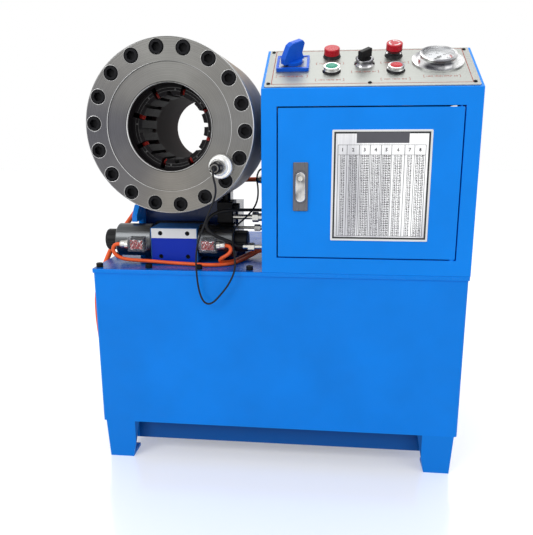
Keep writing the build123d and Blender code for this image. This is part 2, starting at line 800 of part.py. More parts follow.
def make_switch_handle():
    """Lever blade of the main switch on a round hub."""
    floor = panel_top + switch_plate_thickness - 1.5 + slide_clearance
    hub = post(switch_hub_radius, floor, floor + switch_hub_height)
    spindle = post(switch_spindle_radius, -3, floor)
    half = switch_blade_length / 2
    low = floor + switch_hub_height
    high = low + switch_blade_height
    profile = Polyline((-half, low - 2), (-half, low + 8), (-half + 12, high - 4),
                       (-half + 20, high), (half - 4, high), (half, high - 6),
                       (half - 6, low + 10), (half - 2, low - 2), close=True)
    face = Plane.XZ * make_face(Plane.XY * profile)
    blade = extrude(face, switch_blade_width / 2, both=True)
    blade = fillet(blade.edges().group_by(Axis.Z)[-1], 2)
    handle = hub + blade + spindle
    return panel_plane * Pos(switch_middle, switch_row, 0) * Rot(0, 0, switch_blade_angle) * handle


def make_gauge_case():
    """Panel gauge: mounting flange, stepped bezel, can and dial plate."""
    flange = post(gauge_flange_radius, panel_top, panel_top + gauge_flange_thickness)
    bezel_low = panel_top + gauge_flange_thickness
    bezel_high = panel_top + gauge_bezel_height
    collar = post(gauge_bezel_radius + 3, bezel_low, bezel_low + 5)
    bezel = post(gauge_bezel_radius, bezel_low + 5, bezel_high)
    bezel = fillet(bezel.edges().group_by(Axis.Z)[-1], 1.5)
    can = post(gauge_can_radius, -gauge_can_depth, panel_top)
    port = post(6, -gauge_can_depth - 14, -gauge_can_depth)
    inside = post(gauge_can_radius - gauge_wall, bezel_high - dial_depth, bezel_high + 1)
    case = flange + collar + bezel + can + port - inside
    case -= post(needle_hub_radius + running_clearance, bezel_high - dial_depth - 4,
                 bezel_high)
    return panel_plane * Pos(gauge_middle, gauge_row, 0) * case


def make_gauge_needle():
    """Tapered pointer on its arbor, standing at the scale's zero."""
    floor = panel_top + gauge_bezel_height - dial_depth
    pivot = post(needle_hub_radius, floor - 3, floor + 2)
    blade = make_face(Polyline((-7, -1.6), (0, -1.3), (needle_length, -0.4),
                               (needle_length, 0.4), (0, 1.3), (-7, 1.6), close=True))
    blade = Pos(0, 0, floor + 0.6) * extrude(blade, 1.0)
    needle = Rot(0, 0, needle_rest_angle) * (pivot + blade)
    return panel_plane * Pos(gauge_middle, gauge_row, 0) * needle


def make_gauge_glass():
    """Flat glass held inside the bezel."""
    top = panel_top + gauge_bezel_height - 1.0
    glass = post(gauge_can_radius - gauge_wall - 0.1, top - 2.0, top)
    return panel_plane * Pos(gauge_middle, gauge_row, 0) * glass


def make_door():
    """Door pan with returned edges, hinge eyes and the latch's cut-out."""
    pan = block(door_left_x, door_right_x, lid_front_y, lid_front_y + door_return,
                door_bottom_z, door_top_z)
    pan = fillet(pan.edges().filter_by(Axis.Y), 1.5)
    pan -= block(door_left_x + door_sheet, door_right_x - door_sheet,
                 lid_front_y + door_sheet, lid_front_y + door_return + 1,
                 door_bottom_z + door_sheet, door_top_z - door_sheet)
    pin_x, pin_y = door_right_x - hinge_inset, lid_front_y + hinge_inset
    for low in (door_bottom_z, door_top_z - hinge_eye_height):
        pan += block(pin_x - hinge_eye_radius, pin_x + hinge_inset - door_sheet / 2,
                     lid_front_y + door_sheet / 2, pin_y + hinge_eye_radius,
                     low, low + hinge_eye_height)
        pan -= Pos(pin_x, pin_y, low - 1) * Cylinder(hinge_pin_radius + pin_clearance,
                                                    hinge_eye_height + 2, align=LOW)
    latch_z = lid_top_z + latch_height
    pan -= Pos(latch_x, lid_front_y, latch_z) * Box(
        latch_body_width + 0.6, 10, latch_body_height + 0.6)
    return pan


def make_hinge_pins():
    """Headed pins through the frame's returns into the door's eyes, and the lower washer."""
    pin_x, pin_y = door_right_x - hinge_inset, lid_front_y + hinge_inset
    frame_low = door_bottom_z - door_gap
    frame_high = door_top_z + door_gap
    sheet = box_sheet
    upper = post(hinge_pin_radius, door_top_z - hinge_pin_entry, frame_high + sheet)
    upper += post(hinge_head_radius, frame_high + sheet, frame_high + sheet + 2.5)
    lower = post(hinge_pin_radius, frame_low - sheet, door_bottom_z + hinge_pin_entry)
    lower += post(hinge_head_radius, frame_low - sheet - 2.5, frame_low - sheet)
    lower += post(hinge_washer_radius, frame_low, door_bottom_z - slide_clearance)
    return [Pos(pin_x, pin_y, 0) * upper, Pos(pin_x, pin_y, 0) * lower]


def make_latch_plate():
    """Latch escutcheon and the lock body behind it."""
    x = latch_x
    z = lid_top_z + latch_height
    plate = Pos(x, lid_front_y - latch_plate_thickness / 2, z) * Box(
        latch_plate_width, latch_plate_thickness, latch_plate_height)
    plate = fillet(plate.edges().filter_by(Axis.Y), 2)
    plate = chamfer(plate.faces().sort_by(Axis.Y)[0].edges(), 0.8)
    body = Pos(x, lid_front_y + latch_body_depth / 2, z) * Box(
        latch_body_width, latch_body_depth, latch_body_height)
    bore = bar_y(latch_spindle_radius + running_clearance, x, lid_front_y - 10,
                 lid_front_y + latch_body_depth + 5, z)
    return plate + body - bore


def make_latch_handle():
    """Oblong turning handle, its spindle and the cam behind the lock body."""
    x = latch_x
    z = lid_top_z + latch_height
    back = lid_front_y - latch_plate_thickness - slide_clearance
    front = back - latch_handle_thickness
    grip = Plane(origin=(x, back, z), x_dir=(0, 0, 1), z_dir=(0, -1, 0)) * extrude(
        SlotOverall(latch_handle_length, latch_handle_width), latch_handle_thickness)
    grip = fillet(grip.faces().sort_by(Axis.Y)[0].edges(), 2.5)
    cam_front = lid_front_y + frame_return + 2.0
    spindle = bar_y(latch_spindle_radius, x, back - 1, cam_front + cam_thickness + 2, z)
    cam = block(x - cam_width / 2, x + cam_width / 2, cam_front, cam_front + cam_thickness,
                z - cam_length, z + cam_width / 2)
    return grip + spindle + cam


def make_data_plate():
    """Metal table plate on the door."""
    x0 = door_left_x + data_plate_from_door_left * box_scale
    z0 = lid_top_z + data_plate_bottom
    plate = block(x0, x0 + data_plate_width * box_scale, lid_front_y - data_plate_thickness, lid_front_y,
                  z0, z0 + data_plate_height)
    return fillet(plate.edges().filter_by(Axis.Y), 2)


def make_gear_plate():
    """Mounting plate across the box, folded at both ends against the side walls."""
    x0, x1 = box_left_x + box_sheet, box_right_x - box_sheet
    d0, d1 = gear_plate_depth, gear_plate_depth + gear_plate_thickness
    plate = lid_block(x0, x1, d0, d1, box_sheet, gear_plate_top)
    for low, high in ((x0, x0 + gear_plate_thickness), (x1 - gear_plate_thickness, x1)):
        plate += lid_block(low, high, d0, d0 + gear_plate_flange, gear_plate_flange_low,
                           gear_plate_top)
    return plate


def gear_block(span, heights, setback, inset=(0.0, 0.0), back=gear_plate_depth):
    """A block on the gear plate: its span across the box, its heights and its front's setback."""
    return lid_block(box_left_x + span[0] * box_scale + inset[0],
                     box_left_x + span[1] * box_scale - inset[0],
                     gear_plate_depth - gear_reach + setback, back,
                     heights[0] + inset[1], heights[1] - inset[1])


def make_switchgear():
    """Contactor, overload relay, timer and control transformer, side by side."""
    contactor = gear_block(contactor_span, contactor_heights, 0)
    contactor -= gear_block(contactor_span, contactor_heights, -1, contactor_face,
                            gear_plate_depth - gear_reach + contactor_recess)
    overload = gear_block(contactor_span, overload_heights, overload_setback)
    timer = gear_block(timer_span, timer_heights, timer_setback)
    core = gear_block(transformer_span, transformer_heights, transformer_setback)
    winding = gear_block(transformer_span, transformer_heights, 0, winding_inset,
                         gear_plate_depth - gear_reach + transformer_setback - 0.01)
    return [contactor, overload, timer, core + winding]


def make_terminal_strip():
    """Row of terminals along the bottom of the plate."""
    setback = gear_reach - terminal_reach
    low, high = terminal_heights
    strip = gear_block(terminal_span, terminal_heights, setback)
    front = gear_plate_depth - terminal_reach
    pitch = terminal_pitch * box_scale
    count = round((terminal_span[1] - terminal_span[0]) / terminal_pitch)
    left = box_left_x + terminal_span[0] * box_scale
    for index in range(1, count):
        x = left + index * pitch
        strip -= lid_block(x - terminal_gap / 2, x + terminal_gap / 2, front - 1,
                           front + terminal_gap_depth, low - 1, high + 1)
    return strip


def make_motor_housing():
    """Finned motor frame with its mounting flange and end shields."""
    base = lid_top_z
    top = base + motor_frame_height
    frame = post(motor_frame_radius, base + motor_flange_thickness, top)
    frame += post(motor_flange_radius, base, base + motor_flange_thickness)
    fin = block(motor_frame_radius - 3, motor_fin_radius, -1.5, 1.5, base + 25, top - 20)
    for index in range(motor_fin_count):
        frame += Rot(0, 0, index * 360 / motor_fin_count) * fin
    frame += block(-34, 34, -motor_fin_radius - 14, -motor_frame_radius + 6, base + 70, base + 135)
    frame -= post(motor_bore_radius, base + 30, top - 30)
    frame -= post(motor_shaft_radius + running_clearance, base - 1, top + 1)
    return Pos(motor_x, motor_y, 0) * frame


def make_motor_rotor():
    """Rotor, shaft and fan of the motor, with the coupling to the pump."""
    base = lid_top_z
    top = base + motor_frame_height
    rotor = post(motor_shaft_radius, lid_bottom_z - bell_length + 20, top + 30)
    rotor += post(rotor_radius, base + 32, top - 32)
    rotor += post(22, lid_bottom_z - bell_length + 20, lid_bottom_z - 12)
    hub = post(20, top + 12, top + 34)
    disc = post(fan_radius, top + 10, top + 14)
    rotor += hub + disc
    blade = block(18, fan_radius, -1.5, 1.5, top + 13, top + 32)
    for index in range(fan_blades):
        rotor += Rot(0, 0, index * 360 / fan_blades) * blade
    return Pos(motor_x, motor_y, 0) * rotor


def make_motor_cowl():
    """Fan cowl on the motor's end shield, slotted over the fan."""
    low = lid_top_z + motor_frame_height
    high = low + cowl_height
    cowl = post(cowl_radius, low, high)
    cowl = fillet(cowl.edges().group_by(Axis.Z)[-1], cowl_edge)
    hollow = post(cowl_radius - cowl_wall, low + cowl_wall, high - cowl_wall)
    cowl -= fillet(hollow.edges().group_by(Axis.Z)[-1], cowl_edge - cowl_wall)
    cowl -= post(motor_shaft_radius + 3, low - 1, low + 5)
    for index in range(8):
        cowl -= Rot(0, 0, index * 45) * block(22, 58, -4, 4, high - 5, high + 1)
    return Pos(motor_x, motor_y, 0) * cowl


def make_pump():
    """Gear pump on its bell housing under the lid, with its suction strainer."""
    flange_low = lid_bottom_z - bell_length
    bell = post(bell_radius, flange_low, lid_bottom_z)
    bell -= post(bell_radius - bell_wall, flange_low + bell_wall, lid_bottom_z + 1)
    bell -= post(motor_shaft_radius + 1, flange_low - 1, flange_low + 20)
    body = Pos(0, 0, flange_low - pump_height) * Box(pump_width, pump_width, pump_height,
                                                    align=LOW)
    body -= post(motor_shaft_radius + 1, flange_low - 20, flange_low + 1)
    pipe_z = flange_low - pump_height / 2
    pipe = Pos(pump_width / 2, 0, pipe_z) * Rot(0, 90, 0) * Cylinder(
        suction_radius, strainer_offset - pump_width / 2, align=LOW)
    strainer_top = pipe_z + suction_radius
    strainer = Pos(strainer_offset, 0, 0) * post(
        strainer_radius, strainer_top - strainer_height - 2 * suction_radius, strainer_top)
    return Pos(motor_x, motor_y, 0) * (bell + body + pipe + strainer)


def bolt_place(index):
    """Position of one flange screw in the head frame."""
    angle = math.radians(bolt_first_angle + index * 360 / bolt_count)
    return Pos(bolt_circle_radius * math.cos(angle), bolt_circle_radius * math.sin(angle), 0)


def make_front_flange():
    """Front flange: recessed face, chamfered bore, counterbores and die slots behind."""
    chamfer_bore = 3.0
    edge = 1.5
    profile = Polyline(
        (bore_radius + chamfer_bore, -flange_recess),
        (flange_recess_radius, -flange_recess),
        (flange_recess_radius, -edge / 2),
        (flange_recess_radius + edge / 2, 0),
        (head_radius - edge, 0),
        (head_radius, -edge),
        (head_radius, -flange_thickness),
        (bore_radius, -flange_thickness),
        (bore_radius, -flange_recess - chamfer_bore),
        close=True)
    flange = revolve(Plane.XZ * make_face(profile), Axis.Z)
    cutters = []
    for index in range(bolt_count):
        place = bolt_place(index)
        cutters.append(place * post(counterbore_radius, -counterbore_depth, 1))
        cutters.append(place * post(cap_screw_radius + bolt_clearance, -flange_thickness - 1, 1))
    flange -= cutters
    slot_inner = tongue_inner_radius - die_travel - 1
    slot_outer = tongue_inner_radius + tongue_length + 0.5
    slot = block(slot_inner, slot_outer, -tongue_width / 2 - slide_clearance,
                 tongue_width / 2 + slide_clearance, -flange_thickness - 1,
                 -flange_thickness + tongue_height + 1)
    for index in range(die_count):
        flange -= Rot(0, 0, die_clock + index * 360 / die_count) * slot
    flange -= Pos(stop_x, -stop_z, 0) * post(rod_radius + running_clearance,
                                             -flange_thickness - 1, 1)
    return head_plane * flange


def make_head_barrel():
    """Cylinder barrel between the flanges, drilled for their screws."""
    barrel = ring(head_radius, barrel_bore_radius, flange_thickness, rear_flange_front)
    hole = cap_screw_radius + bolt_clearance
    reach = cap_screw_grip + 2
    cutters = []
    for index in range(bolt_count):
        place = bolt_place(index)
        cutters.append(place * post(hole, -flange_thickness - reach, -flange_thickness + 1))
        cutters.append(place * post(hole, -rear_flange_front - 1, -rear_flange_front + reach))
    barrel -= cutters
    return head_plane * barrel


def make_rear_flange():
    """Rear flange with the guide sleeve's bore and counterbored screw holes."""
    edge = 1.5
    profile = Polyline(
        (sleeve_outer_radius + 0.1, -rear_flange_front),
        (head_radius, -rear_flange_front),
        (head_radius, -head_depth + edge),
        (head_radius - edge, -head_depth),
        (sleeve_outer_radius + 0.1, -head_depth),
        close=True)
    flange = revolve(Plane.XZ * make_face(profile), Axis.Z)
    cutters = []
    for index in range(bolt_count):
        place = bolt_place(index)
        cutters.append(place * post(counterbore_radius, -head_depth - 1,
                                    -head_depth + counterbore_depth))
        cutters.append(place * post(cap_screw_radius + bolt_clearance, -head_depth - 1,
                                    -rear_flange_front + 1))
    flange -= cutters
    return head_plane * flange


def cap_screw(front_seat, direction, seat_thickness):
    """One socket-head screw along the head's axis, its head's seat at a given depth."""
    top = -front_seat + direction * cap_screw_head_height
    end = -front_seat - direction * (seat_thickness + cap_screw_grip)
    head = post(cap_screw_head_radius, min(top, -front_seat), max(top, -front_seat))
    shank = post(cap_screw_radius, min(end, -front_seat), max(end, -front_seat))
    return head + shank


def make_flange_bolts():
    """Socket-head screws of both flanges."""
    front = cap_screw(counterbore_depth, 1, flange_thickness - counterbore_depth)
    rear = cap_screw(head_depth - counterbore_depth, -1,
                     rear_flange_thickness - counterbore_depth)
    return [head_plane * bolt_place(index) * screw
            for index in range(bolt_count) for screw in (front, rear)]


def octagon(apothem, depth):
    """Octagon across the head's axis with its flats facing the dies."""
    corner = apothem / math.cos(math.pi / die_count)
    points = []
    for index in range(die_count):
        angle = math.radians(die_clock) + (2 * index + 1) * math.pi / die_count
        points.append((corner * math.cos(angle), corner * math.sin(angle)))
    return Pos(0, 0, -depth) * make_face(Polyline(*points, close=True))


def make_piston():
    """Ring piston with an eight-sided tapered throat and a rear guide bore."""
    radius = barrel_bore_radius - running_clearance
    piston = post(radius, -piston_back, -piston_front)
    wide = octagon(piston_front_apothem + taper_ratio, piston_front - 1)
    narrow = octagon(piston_front_apothem - taper_ratio * taper_length,
                     piston_front + taper_length)
    piston -= loft([narrow, wide], ruled=True)
    piston -= post(sleeve_outer_radius + running_clearance, -piston_back - 1, -piston_front)
    for depth in seal_places():
        piston -= ring(radius + 1, radius - seal_depth, depth, depth + seal_width)
    return head_plane * piston


def seal_places():
    """Depths of the two seal grooves near the piston's rear face."""
    first = piston_back - 3 * seal_width
    return [first, first - 3 * seal_width]


def make_piston_seals():
    """Two square-section seals in the piston's grooves."""
    radius = barrel_bore_radius - running_clearance
    seals = []
    for depth in seal_places():
        seals.append(head_plane * ring(radius, radius - seal_depth, depth, depth + seal_width))
    return seals


def make_guide_sleeve():
    """Central tube that guides the piston and lets the hose through."""
    front = die_back + sleeve_die_gap
    tube = ring(sleeve_outer_radius, sleeve_inner_radius, front, sleeve_end_depth)
    collar = ring(sleeve_outer_radius + 11, sleeve_outer_radius - 1, head_depth, head_depth + 12)
    sleeve = tube + collar
    edge = sleeve.edges().filter_by(GeomType.CIRCLE).group_by(Axis.Z)[0].sort_by(SortBy.RADIUS)[0]
    return head_plane * chamfer(edge, 3)


def die_block():
    """One master die and its return spring, pointing along the head frame's x."""
    half_angle = math.pi / die_count
    side = die_gap / 2 / math.cos(half_angle)
    inner, outer = die_tip_radius - keyway_depth, piston_front_apothem + die_length
    wedge = make_face(Polyline(
        (inner, -(inner * math.tan(half_angle) - side)),
        (outer, -(outer * math.tan(half_angle) - side)),
        (outer, outer * math.tan(half_angle) - side),
        (inner, inner * math.tan(half_angle) - side), close=True))
    block_solid = extrude(Pos(0, 0, -die_back) * wedge, die_length)
    lift = slide_clearance / math.cos(math.atan(taper_ratio))
    back_front = piston_front_apothem + taper_ratio * (piston_front - die_front) - lift
    back_rear = back_front - taper_ratio * die_length
    side_view = make_face(Polyline((inner - 5, -die_front), (back_front, -die_front),
                                   (back_rear, -die_back), (inner - 5, -die_back), close=True))
    block_solid &= extrude(Plane.XZ * side_view, die_length, both=True)
    block_solid -= post(die_tip_radius, -die_back - 1, -die_front + 1)
    block_solid -= block(inner - 5, die_tip_radius + keyway_depth, -keyway_width / 2,
                         keyway_width / 2, -die_back - 1, -die_front + 1)
    block_solid += block(tongue_inner_radius, tongue_inner_radius + tongue_length,
                         -tongue_width / 2, tongue_width / 2, -die_front - 1,
                         -die_front + tongue_height)
    spring_depth = die_front + spring_place_depth
    closing = 2 * die_travel * math.sin(half_angle)
    near = spring_line(half_angle, spring_depth, -die_gap / 2 - spring_seat, die_gap / 2,
                       spring_radius + slide_clearance)
    far = spring_line(-half_angle, spring_depth, -die_gap / 2,
                      die_gap / 2 + spring_entry + closing + 0.5,
                      spring_radius + slide_clearance)
    block_solid -= near
    block_solid -= far
    spring = spring_line(half_angle, spring_depth, -die_gap / 2 - spring_seat,
                         die_gap / 2 + spring_entry, spring_radius)
    return block_solid, spring


def spring_line(gap_angle, depth, start, end, radius):
    """A round bar across the gap at an angle, between two distances from its middle."""
    place = Pos(spring_place_radius * math.cos(gap_angle),
                spring_place_radius * math.sin(gap_angle), -depth)
    turn = Rot(0, 0, math.degrees(gap_angle)) * Rot(-90, 0, 0)
    return place * turn * post(radius, start, end)


def make_pedestal():
    """Welded pedestal with a saddle for the barrel and a gusset at its left."""
    d0, d1 = pedestal_front, pedestal_front + pedestal_depth
    left, right = head_x - pedestal_half_width, head_x + pedestal_half_width
    body = lid_block(left, right, d0, d1, 0, pedestal_shoulder)
    saddle = saddle_half_width
    body += lid_block(head_x - saddle, head_x + saddle, d0, d1, pedestal_shoulder - 1,
                      pedestal_shoulder + saddle_rise)
    body += lid_block(left - foot_reach, right + foot_reach, d0, d1 + foot_reach, 0,
                      pedestal_plate)
    gusset = Plane(origin=(left, lid_front_y, lid_top_z), x_dir=(0, 1, 0), z_dir=(1, 0, 0))
    outline = make_face(Polyline((d0 - gusset_stem, 0), (d0 + pedestal_plate, 0),
                                 (d0 + pedestal_plate, pedestal_shoulder),
                                 (gusset_front + 20, pedestal_shoulder),
                                 (gusset_front, pedestal_shoulder - 20),
                                 (gusset_front, gusset_underside),
                                 (d0 - gusset_stem, gusset_underside), close=True))
    body += extrude(gusset * outline, -pedestal_plate)
    barrel = bar_y(head_radius, head_x, lid_front_y, lid_back_y, head_z)
    return body - barrel


def make_valve_subplate():
    """Ported block between the pedestal and the valve, standing on the lid."""
    front = valve_front + valve_depth
    x0 = valve_left_x - subplate_margin
    x1 = valve_left_x + valve_width + subplate_margin
    plate = lid_block(x0, x1, front, front + subplate_depth, 0,
                      valve_bottom + valve_height + 2)
    return chamfer(plate.edges().filter_by(Axis.Y), 1.0)


def make_valve_body():
    """Directional valve body with four counterbored screw holes in its face."""
    x0 = valve_left_x
    body = lid_block(x0, x0 + valve_width, valve_front, valve_front + valve_depth,
                     valve_bottom, valve_bottom + valve_height)
    body = chamfer(body.edges().filter_by(Axis.Y), 1.5)
    mid_x = x0 + valve_width / 2
    mid_z = lid_top_z + valve_bottom + valve_height / 2
    for sx in (-1, 1):
        for sz in (-1, 1):
            body -= bar_y(valve_bolt_hole_radius, mid_x + sx * valve_bolt_spacing_x / 2,
                          lid_front_y + valve_front - 1,
                          lid_front_y + valve_front + valve_bolt_hole_depth,
                          mid_z + sz * valve_bolt_spacing_z / 2)
    return body


def solenoid_ends():
    """The valve body's side faces with the outward direction of each solenoid."""
    x0 = valve_left_x
    return ((x0, -1), (x0 + valve_width, 1))


def outward_bar(radius, face_x, side, start, end, y, z):
    """A round bar along X, placed by its distances outwards from a side face."""
    a, b = face_x + side * start, face_x + side * end
    return bar_x(radius, min(a, b), max(a, b), y, z)


def make_solenoids():
    """Round coil housings at both ends of the valve with their plug pads."""
    y = lid_front_y + solenoid_axis_depth
    z = lid_top_z + solenoid_axis_height
    solenoids = []
    for face_x, side in solenoid_ends():
        coil = outward_bar(solenoid_radius, face_x, side, 0, solenoid_length, y, z)
        coil = chamfer(coil.edges().filter_by(GeomType.CIRCLE), 2)
        mid = face_x + side * plug_offset
        pad = block(mid - 14, mid + 14, lid_front_y + plug_back_depth, y,
                    z - 12, z + 12)
        solenoids.append(coil + pad)
    return solenoids


def make_solenoid_caps():
    """Ribbed retaining caps at the solenoids' outer ends."""
    y = lid_front_y + solenoid_axis_depth
    z = lid_top_z + solenoid_axis_height
    caps = []
    for face_x, side in solenoid_ends():
        cap = outward_bar(solenoid_cap_radius, face_x, side, solenoid_length,
                          solenoid_length + solenoid_cap_length, y, z)
        end_x = face_x + side * (solenoid_length + solenoid_cap_length)
        edge = cap.edges().filter_by(GeomType.CIRCLE).sort_by(Axis.X)[-1 if side > 0 else 0]
        cap = fillet(edge, 4)
        for index in range(12):
            angle = math.radians(index * 30)
            cy = y + (solenoid_cap_radius + 1) * math.cos(angle)
            cz = z + (solenoid_cap_radius + 1) * math.sin(angle)
            start = end_x - side * (solenoid_cap_length - 5)
            cap -= bar_x(2.2, min(start, end_x + side), max(start, end_x + side), cy, cz)
        caps.append(cap)
    return caps


def make_solenoid_plugs():
    """Clear connector plugs on the solenoids' fronts with their cable glands."""
    z = lid_top_z + plug_axis_height
    plugs = []
    for face_x, side in solenoid_ends():
        mid = face_x + side * plug_offset
        y1 = lid_front_y + plug_back_depth
        y0 = y1 - plug_depth
        body = block(mid - plug_width / 2, mid + plug_width / 2, y0, y1,
                     z - plug_height / 2, z + plug_height / 2)
        body = fillet(body.edges().group_by(Axis.Y)[0], 3)
        gland = outward_bar(plug_gland_radius, mid, side, plug_width / 2 - 1,
                            plug_width / 2 + plug_gland_length, (y0 + y1) / 2, z)
        plugs.append(body + gland)
    return plugs


def make_port_block():
    """Stepped check-valve block on the pedestal's front, with a nipple up to the barrel."""
    front = pedestal_front - port_block_depth
    port = lid_block(port_block_left, port_block_right, front, pedestal_front,
                     port_block_step, port_block_top)
    port += lid_block(port_block_left, port_block_right, pedestal_front - port_block_foot_depth,
                      pedestal_front, port_block_bottom, port_block_step)
    port = chamfer(port.edges().group_by(Axis.Y)[0], 1.5)
    y = lid_front_y + pedestal_front - port_block_depth / 2
    middle_x = (port_block_left + port_block_right) / 2
    port += Pos(port_block_right, y, lid_top_z + port_plug_height) * Rot(0, 90, 0) * extrude(
        RegularPolygon(port_plug_radius, 6, major_radius=False), port_plug_length)
    port += Pos(middle_x, y, 0) * post(port_nipple_radius, lid_top_z + port_block_top,
                                       head_z - head_radius / 2)
    return port - bar_y(head_radius, head_x, lid_front_y, lid_back_y, head_z)


def hexagon_x(radius, x0, x1, y, z):
    """A hexagonal nut along X, by its radius across the flats."""
    return Pos(x0, y, z) * Rot(0, 90, 0) * extrude(
        RegularPolygon(radius, 6, major_radius=False), x1 - x0)


def pipe_union(pipe_radius, nut_radius, depth, height):
    """Pipe from the port block through the box's wall, with its nut and wall collar."""
    y, z = lid_front_y + depth, lid_top_z + height
    nut_end = box_left_x - nut_from_wall
    pipe = bar_x(pipe_radius, port_block_right, box_left_x + 8, y, z)
    nut = hexagon_x(nut_radius, nut_end, nut_end + nut_length, y, z)
    collar = bar_x(nut_radius + nut_rim, box_left_x - 4, box_left_x, y, z)
    sleeve = bar_x(nut_radius - 1, nut_end + nut_length, box_left_x, y, z)
    return pipe + nut + collar + sleeve


def make_wall_fittings():
    """Pipe unions, gauge-hose union and cord glands in the box's left wall."""
    fittings = [
        pipe_union(pressure_pipe_radius, pressure_nut_radius, pressure_pipe_depth,
                   pressure_pipe_height),
        pipe_union(return_pipe_radius, return_nut_radius, return_pipe_depth,
                   return_pipe_height),
    ]
    _, y, z = over_lid(*HOSE_ROUTE[-1])
    reach = box_left_x - gauge_union_reach
    union = bar_x(gauge_union_radius, reach, box_left_x + 8, y, z)
    union += hexagon_x(gauge_nut_radius, reach + 10, reach + 10 + nut_length, y, z)
    union += bar_x(gauge_nut_radius + nut_rim, box_left_x - 4, box_left_x, y, z)
    fittings.append(union)
    _, y, z = over_lid(*POWER_ROUTE[0])
    tip = box_left_x - power_gland_length
    body = box_left_x - power_gland_length / 2
    gland = bar_x(power_gland_radius, body, box_left_x, y, z)
    taper = Pos(body, y, z) * Rot(0, -90, 0) * Cone(
        power_gland_radius - 1, power_gland_tip_radius, body - tip, align=LOW)
    inside = bar_x(power_gland_tip_radius, box_left_x, box_left_x + 10, y, z)
    fittings.append(gland + taper + inside)
    for place, diameter in GROMMET_CORDS:
        _, y, z = over_lid(*place)
        grommet = bar_x(diameter / 2 + grommet_wall, box_left_x - grommet_reach,
                        box_left_x + 6, y, z)
        grommet += bar_x(diameter / 2 + grommet_wall + 2, box_left_x - 3, box_left_x, y, z)
        fittings.append(grommet)
    return fittings


def stop_bar(radius, start, end):
    """A round bar on the stop adjuster's axis, by distances out from the flange's face."""
    return head_plane * Pos(stop_x, -stop_z, 0) * post(radius, start, end)


def make_stop_spindle():
    """Base, hollow spindle, end collar and cable gland of the closing-stop adjuster."""
    sleeve_end = stop_base_length + thimble_length + thimble_step_length + 2 * stop_gap
    collar_end = sleeve_end + stop_collar_length
    spindle = stop_bar(stop_base_radius, 0, stop_base_length)
    spindle += stop_bar(stop_base_radius, -flange_recess, 0) & (
        head_plane * post(flange_recess_radius, -flange_recess, 0))
    spindle += stop_bar(spindle_radius, 0, sleeve_end)
    spindle += stop_bar(stop_collar_radius, sleeve_end, collar_end)
    gland = head_plane * Pos(stop_x, -stop_z, collar_end) * extrude(
        RegularPolygon(gland_across_flats / 2, 6, major_radius=False), gland_length * 0.6)
    spindle += gland
    spindle += stop_bar(gland_across_flats / 2 - 2.5, collar_end, collar_end + gland_length)
    rod_room = stop_base_length + thimble_length + thimble_step_length
    spindle -= stop_bar(rod_radius + running_clearance, -flange_recess - 1, rod_room)
    return spindle


def make_stop_thimble():
    """Knurled adjusting thimble that turns on the spindle."""
    low = stop_base_length + stop_gap
    step = low + thimble_length
    high = step + thimble_step_length
    thimble = stop_bar(thimble_radius, low, step)
    thimble = chamfer(thimble.edges().filter_by(GeomType.CIRCLE), 1.0)
    thimble += stop_bar(thimble_step_radius, step - 1, high)
    return thimble - stop_bar(spindle_radius + running_clearance, low - 1, high + 1)


def make_contact_rod():
    """Rod that the thimble drives through the flange towards the piston."""
    return stop_bar(rod_radius, -rod_tip_depth, rod_tail)


def row_points(route):
    """A route's points in the row frame."""
    return [Vector(*over_lid(*point)) for point in route]


def bend_radii(points):
    """The largest tangent arc that each corner's two runs leave room for."""
    radii = []
    for before, here, after in zip(points, points[1:], points[2:]):
        first, second = here - before, after - here
        turn = math.radians(first.get_angle(second))
        radii.append(0.45 * min(first.length, second.length) / math.tan(turn / 2))
    return radii


def make_cord(name, route, diameter):
    """A round cord along straight runs joined by tangent arcs."""
    points = row_points(route)
    radii = bend_radii(points)
    path = Wire(FilletPolyline(*points, radius=radii).edges())
    start = Plane(origin=points[0], z_dir=points[1] - points[0])
    cord = sweep(start * Circle(diameter / 2), path=path)
    expected = math.pi * diameter ** 2 / 4 * path.length
    print(name, "length", round(path.length, 1), "radii", [round(r, 1) for r in radii],
          "volume ratio", round(cord.volume / expected, 4))
    return cord


def coil_centre():
    """Middle of the put-away coil on the floor."""
    x, depth = coil_place
    return x, lid_front_y + depth


def outer_turn_radius():
    """Radius of the coil's outermost turn."""
    return coil_middle_radius + power_cord_diameter * (coil_turns_per_layer - 1) / 2


def make_power_cord_run():
    """The uncoiled cord down to the floor, and the short length into the plug."""
    run = make_cord("power cord", POWER_ROUTE, power_cord_diameter)
    x, y = coil_centre()
    turn_y = y + outer_turn_radius()
    low = power_cord_diameter * (coil_layers - 0.5)
    start = Vector(x, turn_y, low)
    end = Vector(x + plug_from_coil, turn_y, plug_shroud_radius)
    tail = Plane(origin=start, z_dir=end - start) * Cylinder(
        power_cord_diameter / 2, (end - start).length, align=LOW)
    return [run, tail]


def make_power_cord_coil():
    """Outer shape of the round coil that holds the cord's put-away length."""
    half = power_cord_diameter * coil_turns_per_layer / 2
    height = power_cord_diameter * coil_layers
    coil = post(coil_middle_radius + half, 0, height)
    coil -= post(coil_middle_radius - half, -1, height + 1)
    coil = fillet(coil.edges().filter_by(GeomType.CIRCLE), coil_edge)
    x, y = coil_centre()
    return Pos(x, y, 0) * coil


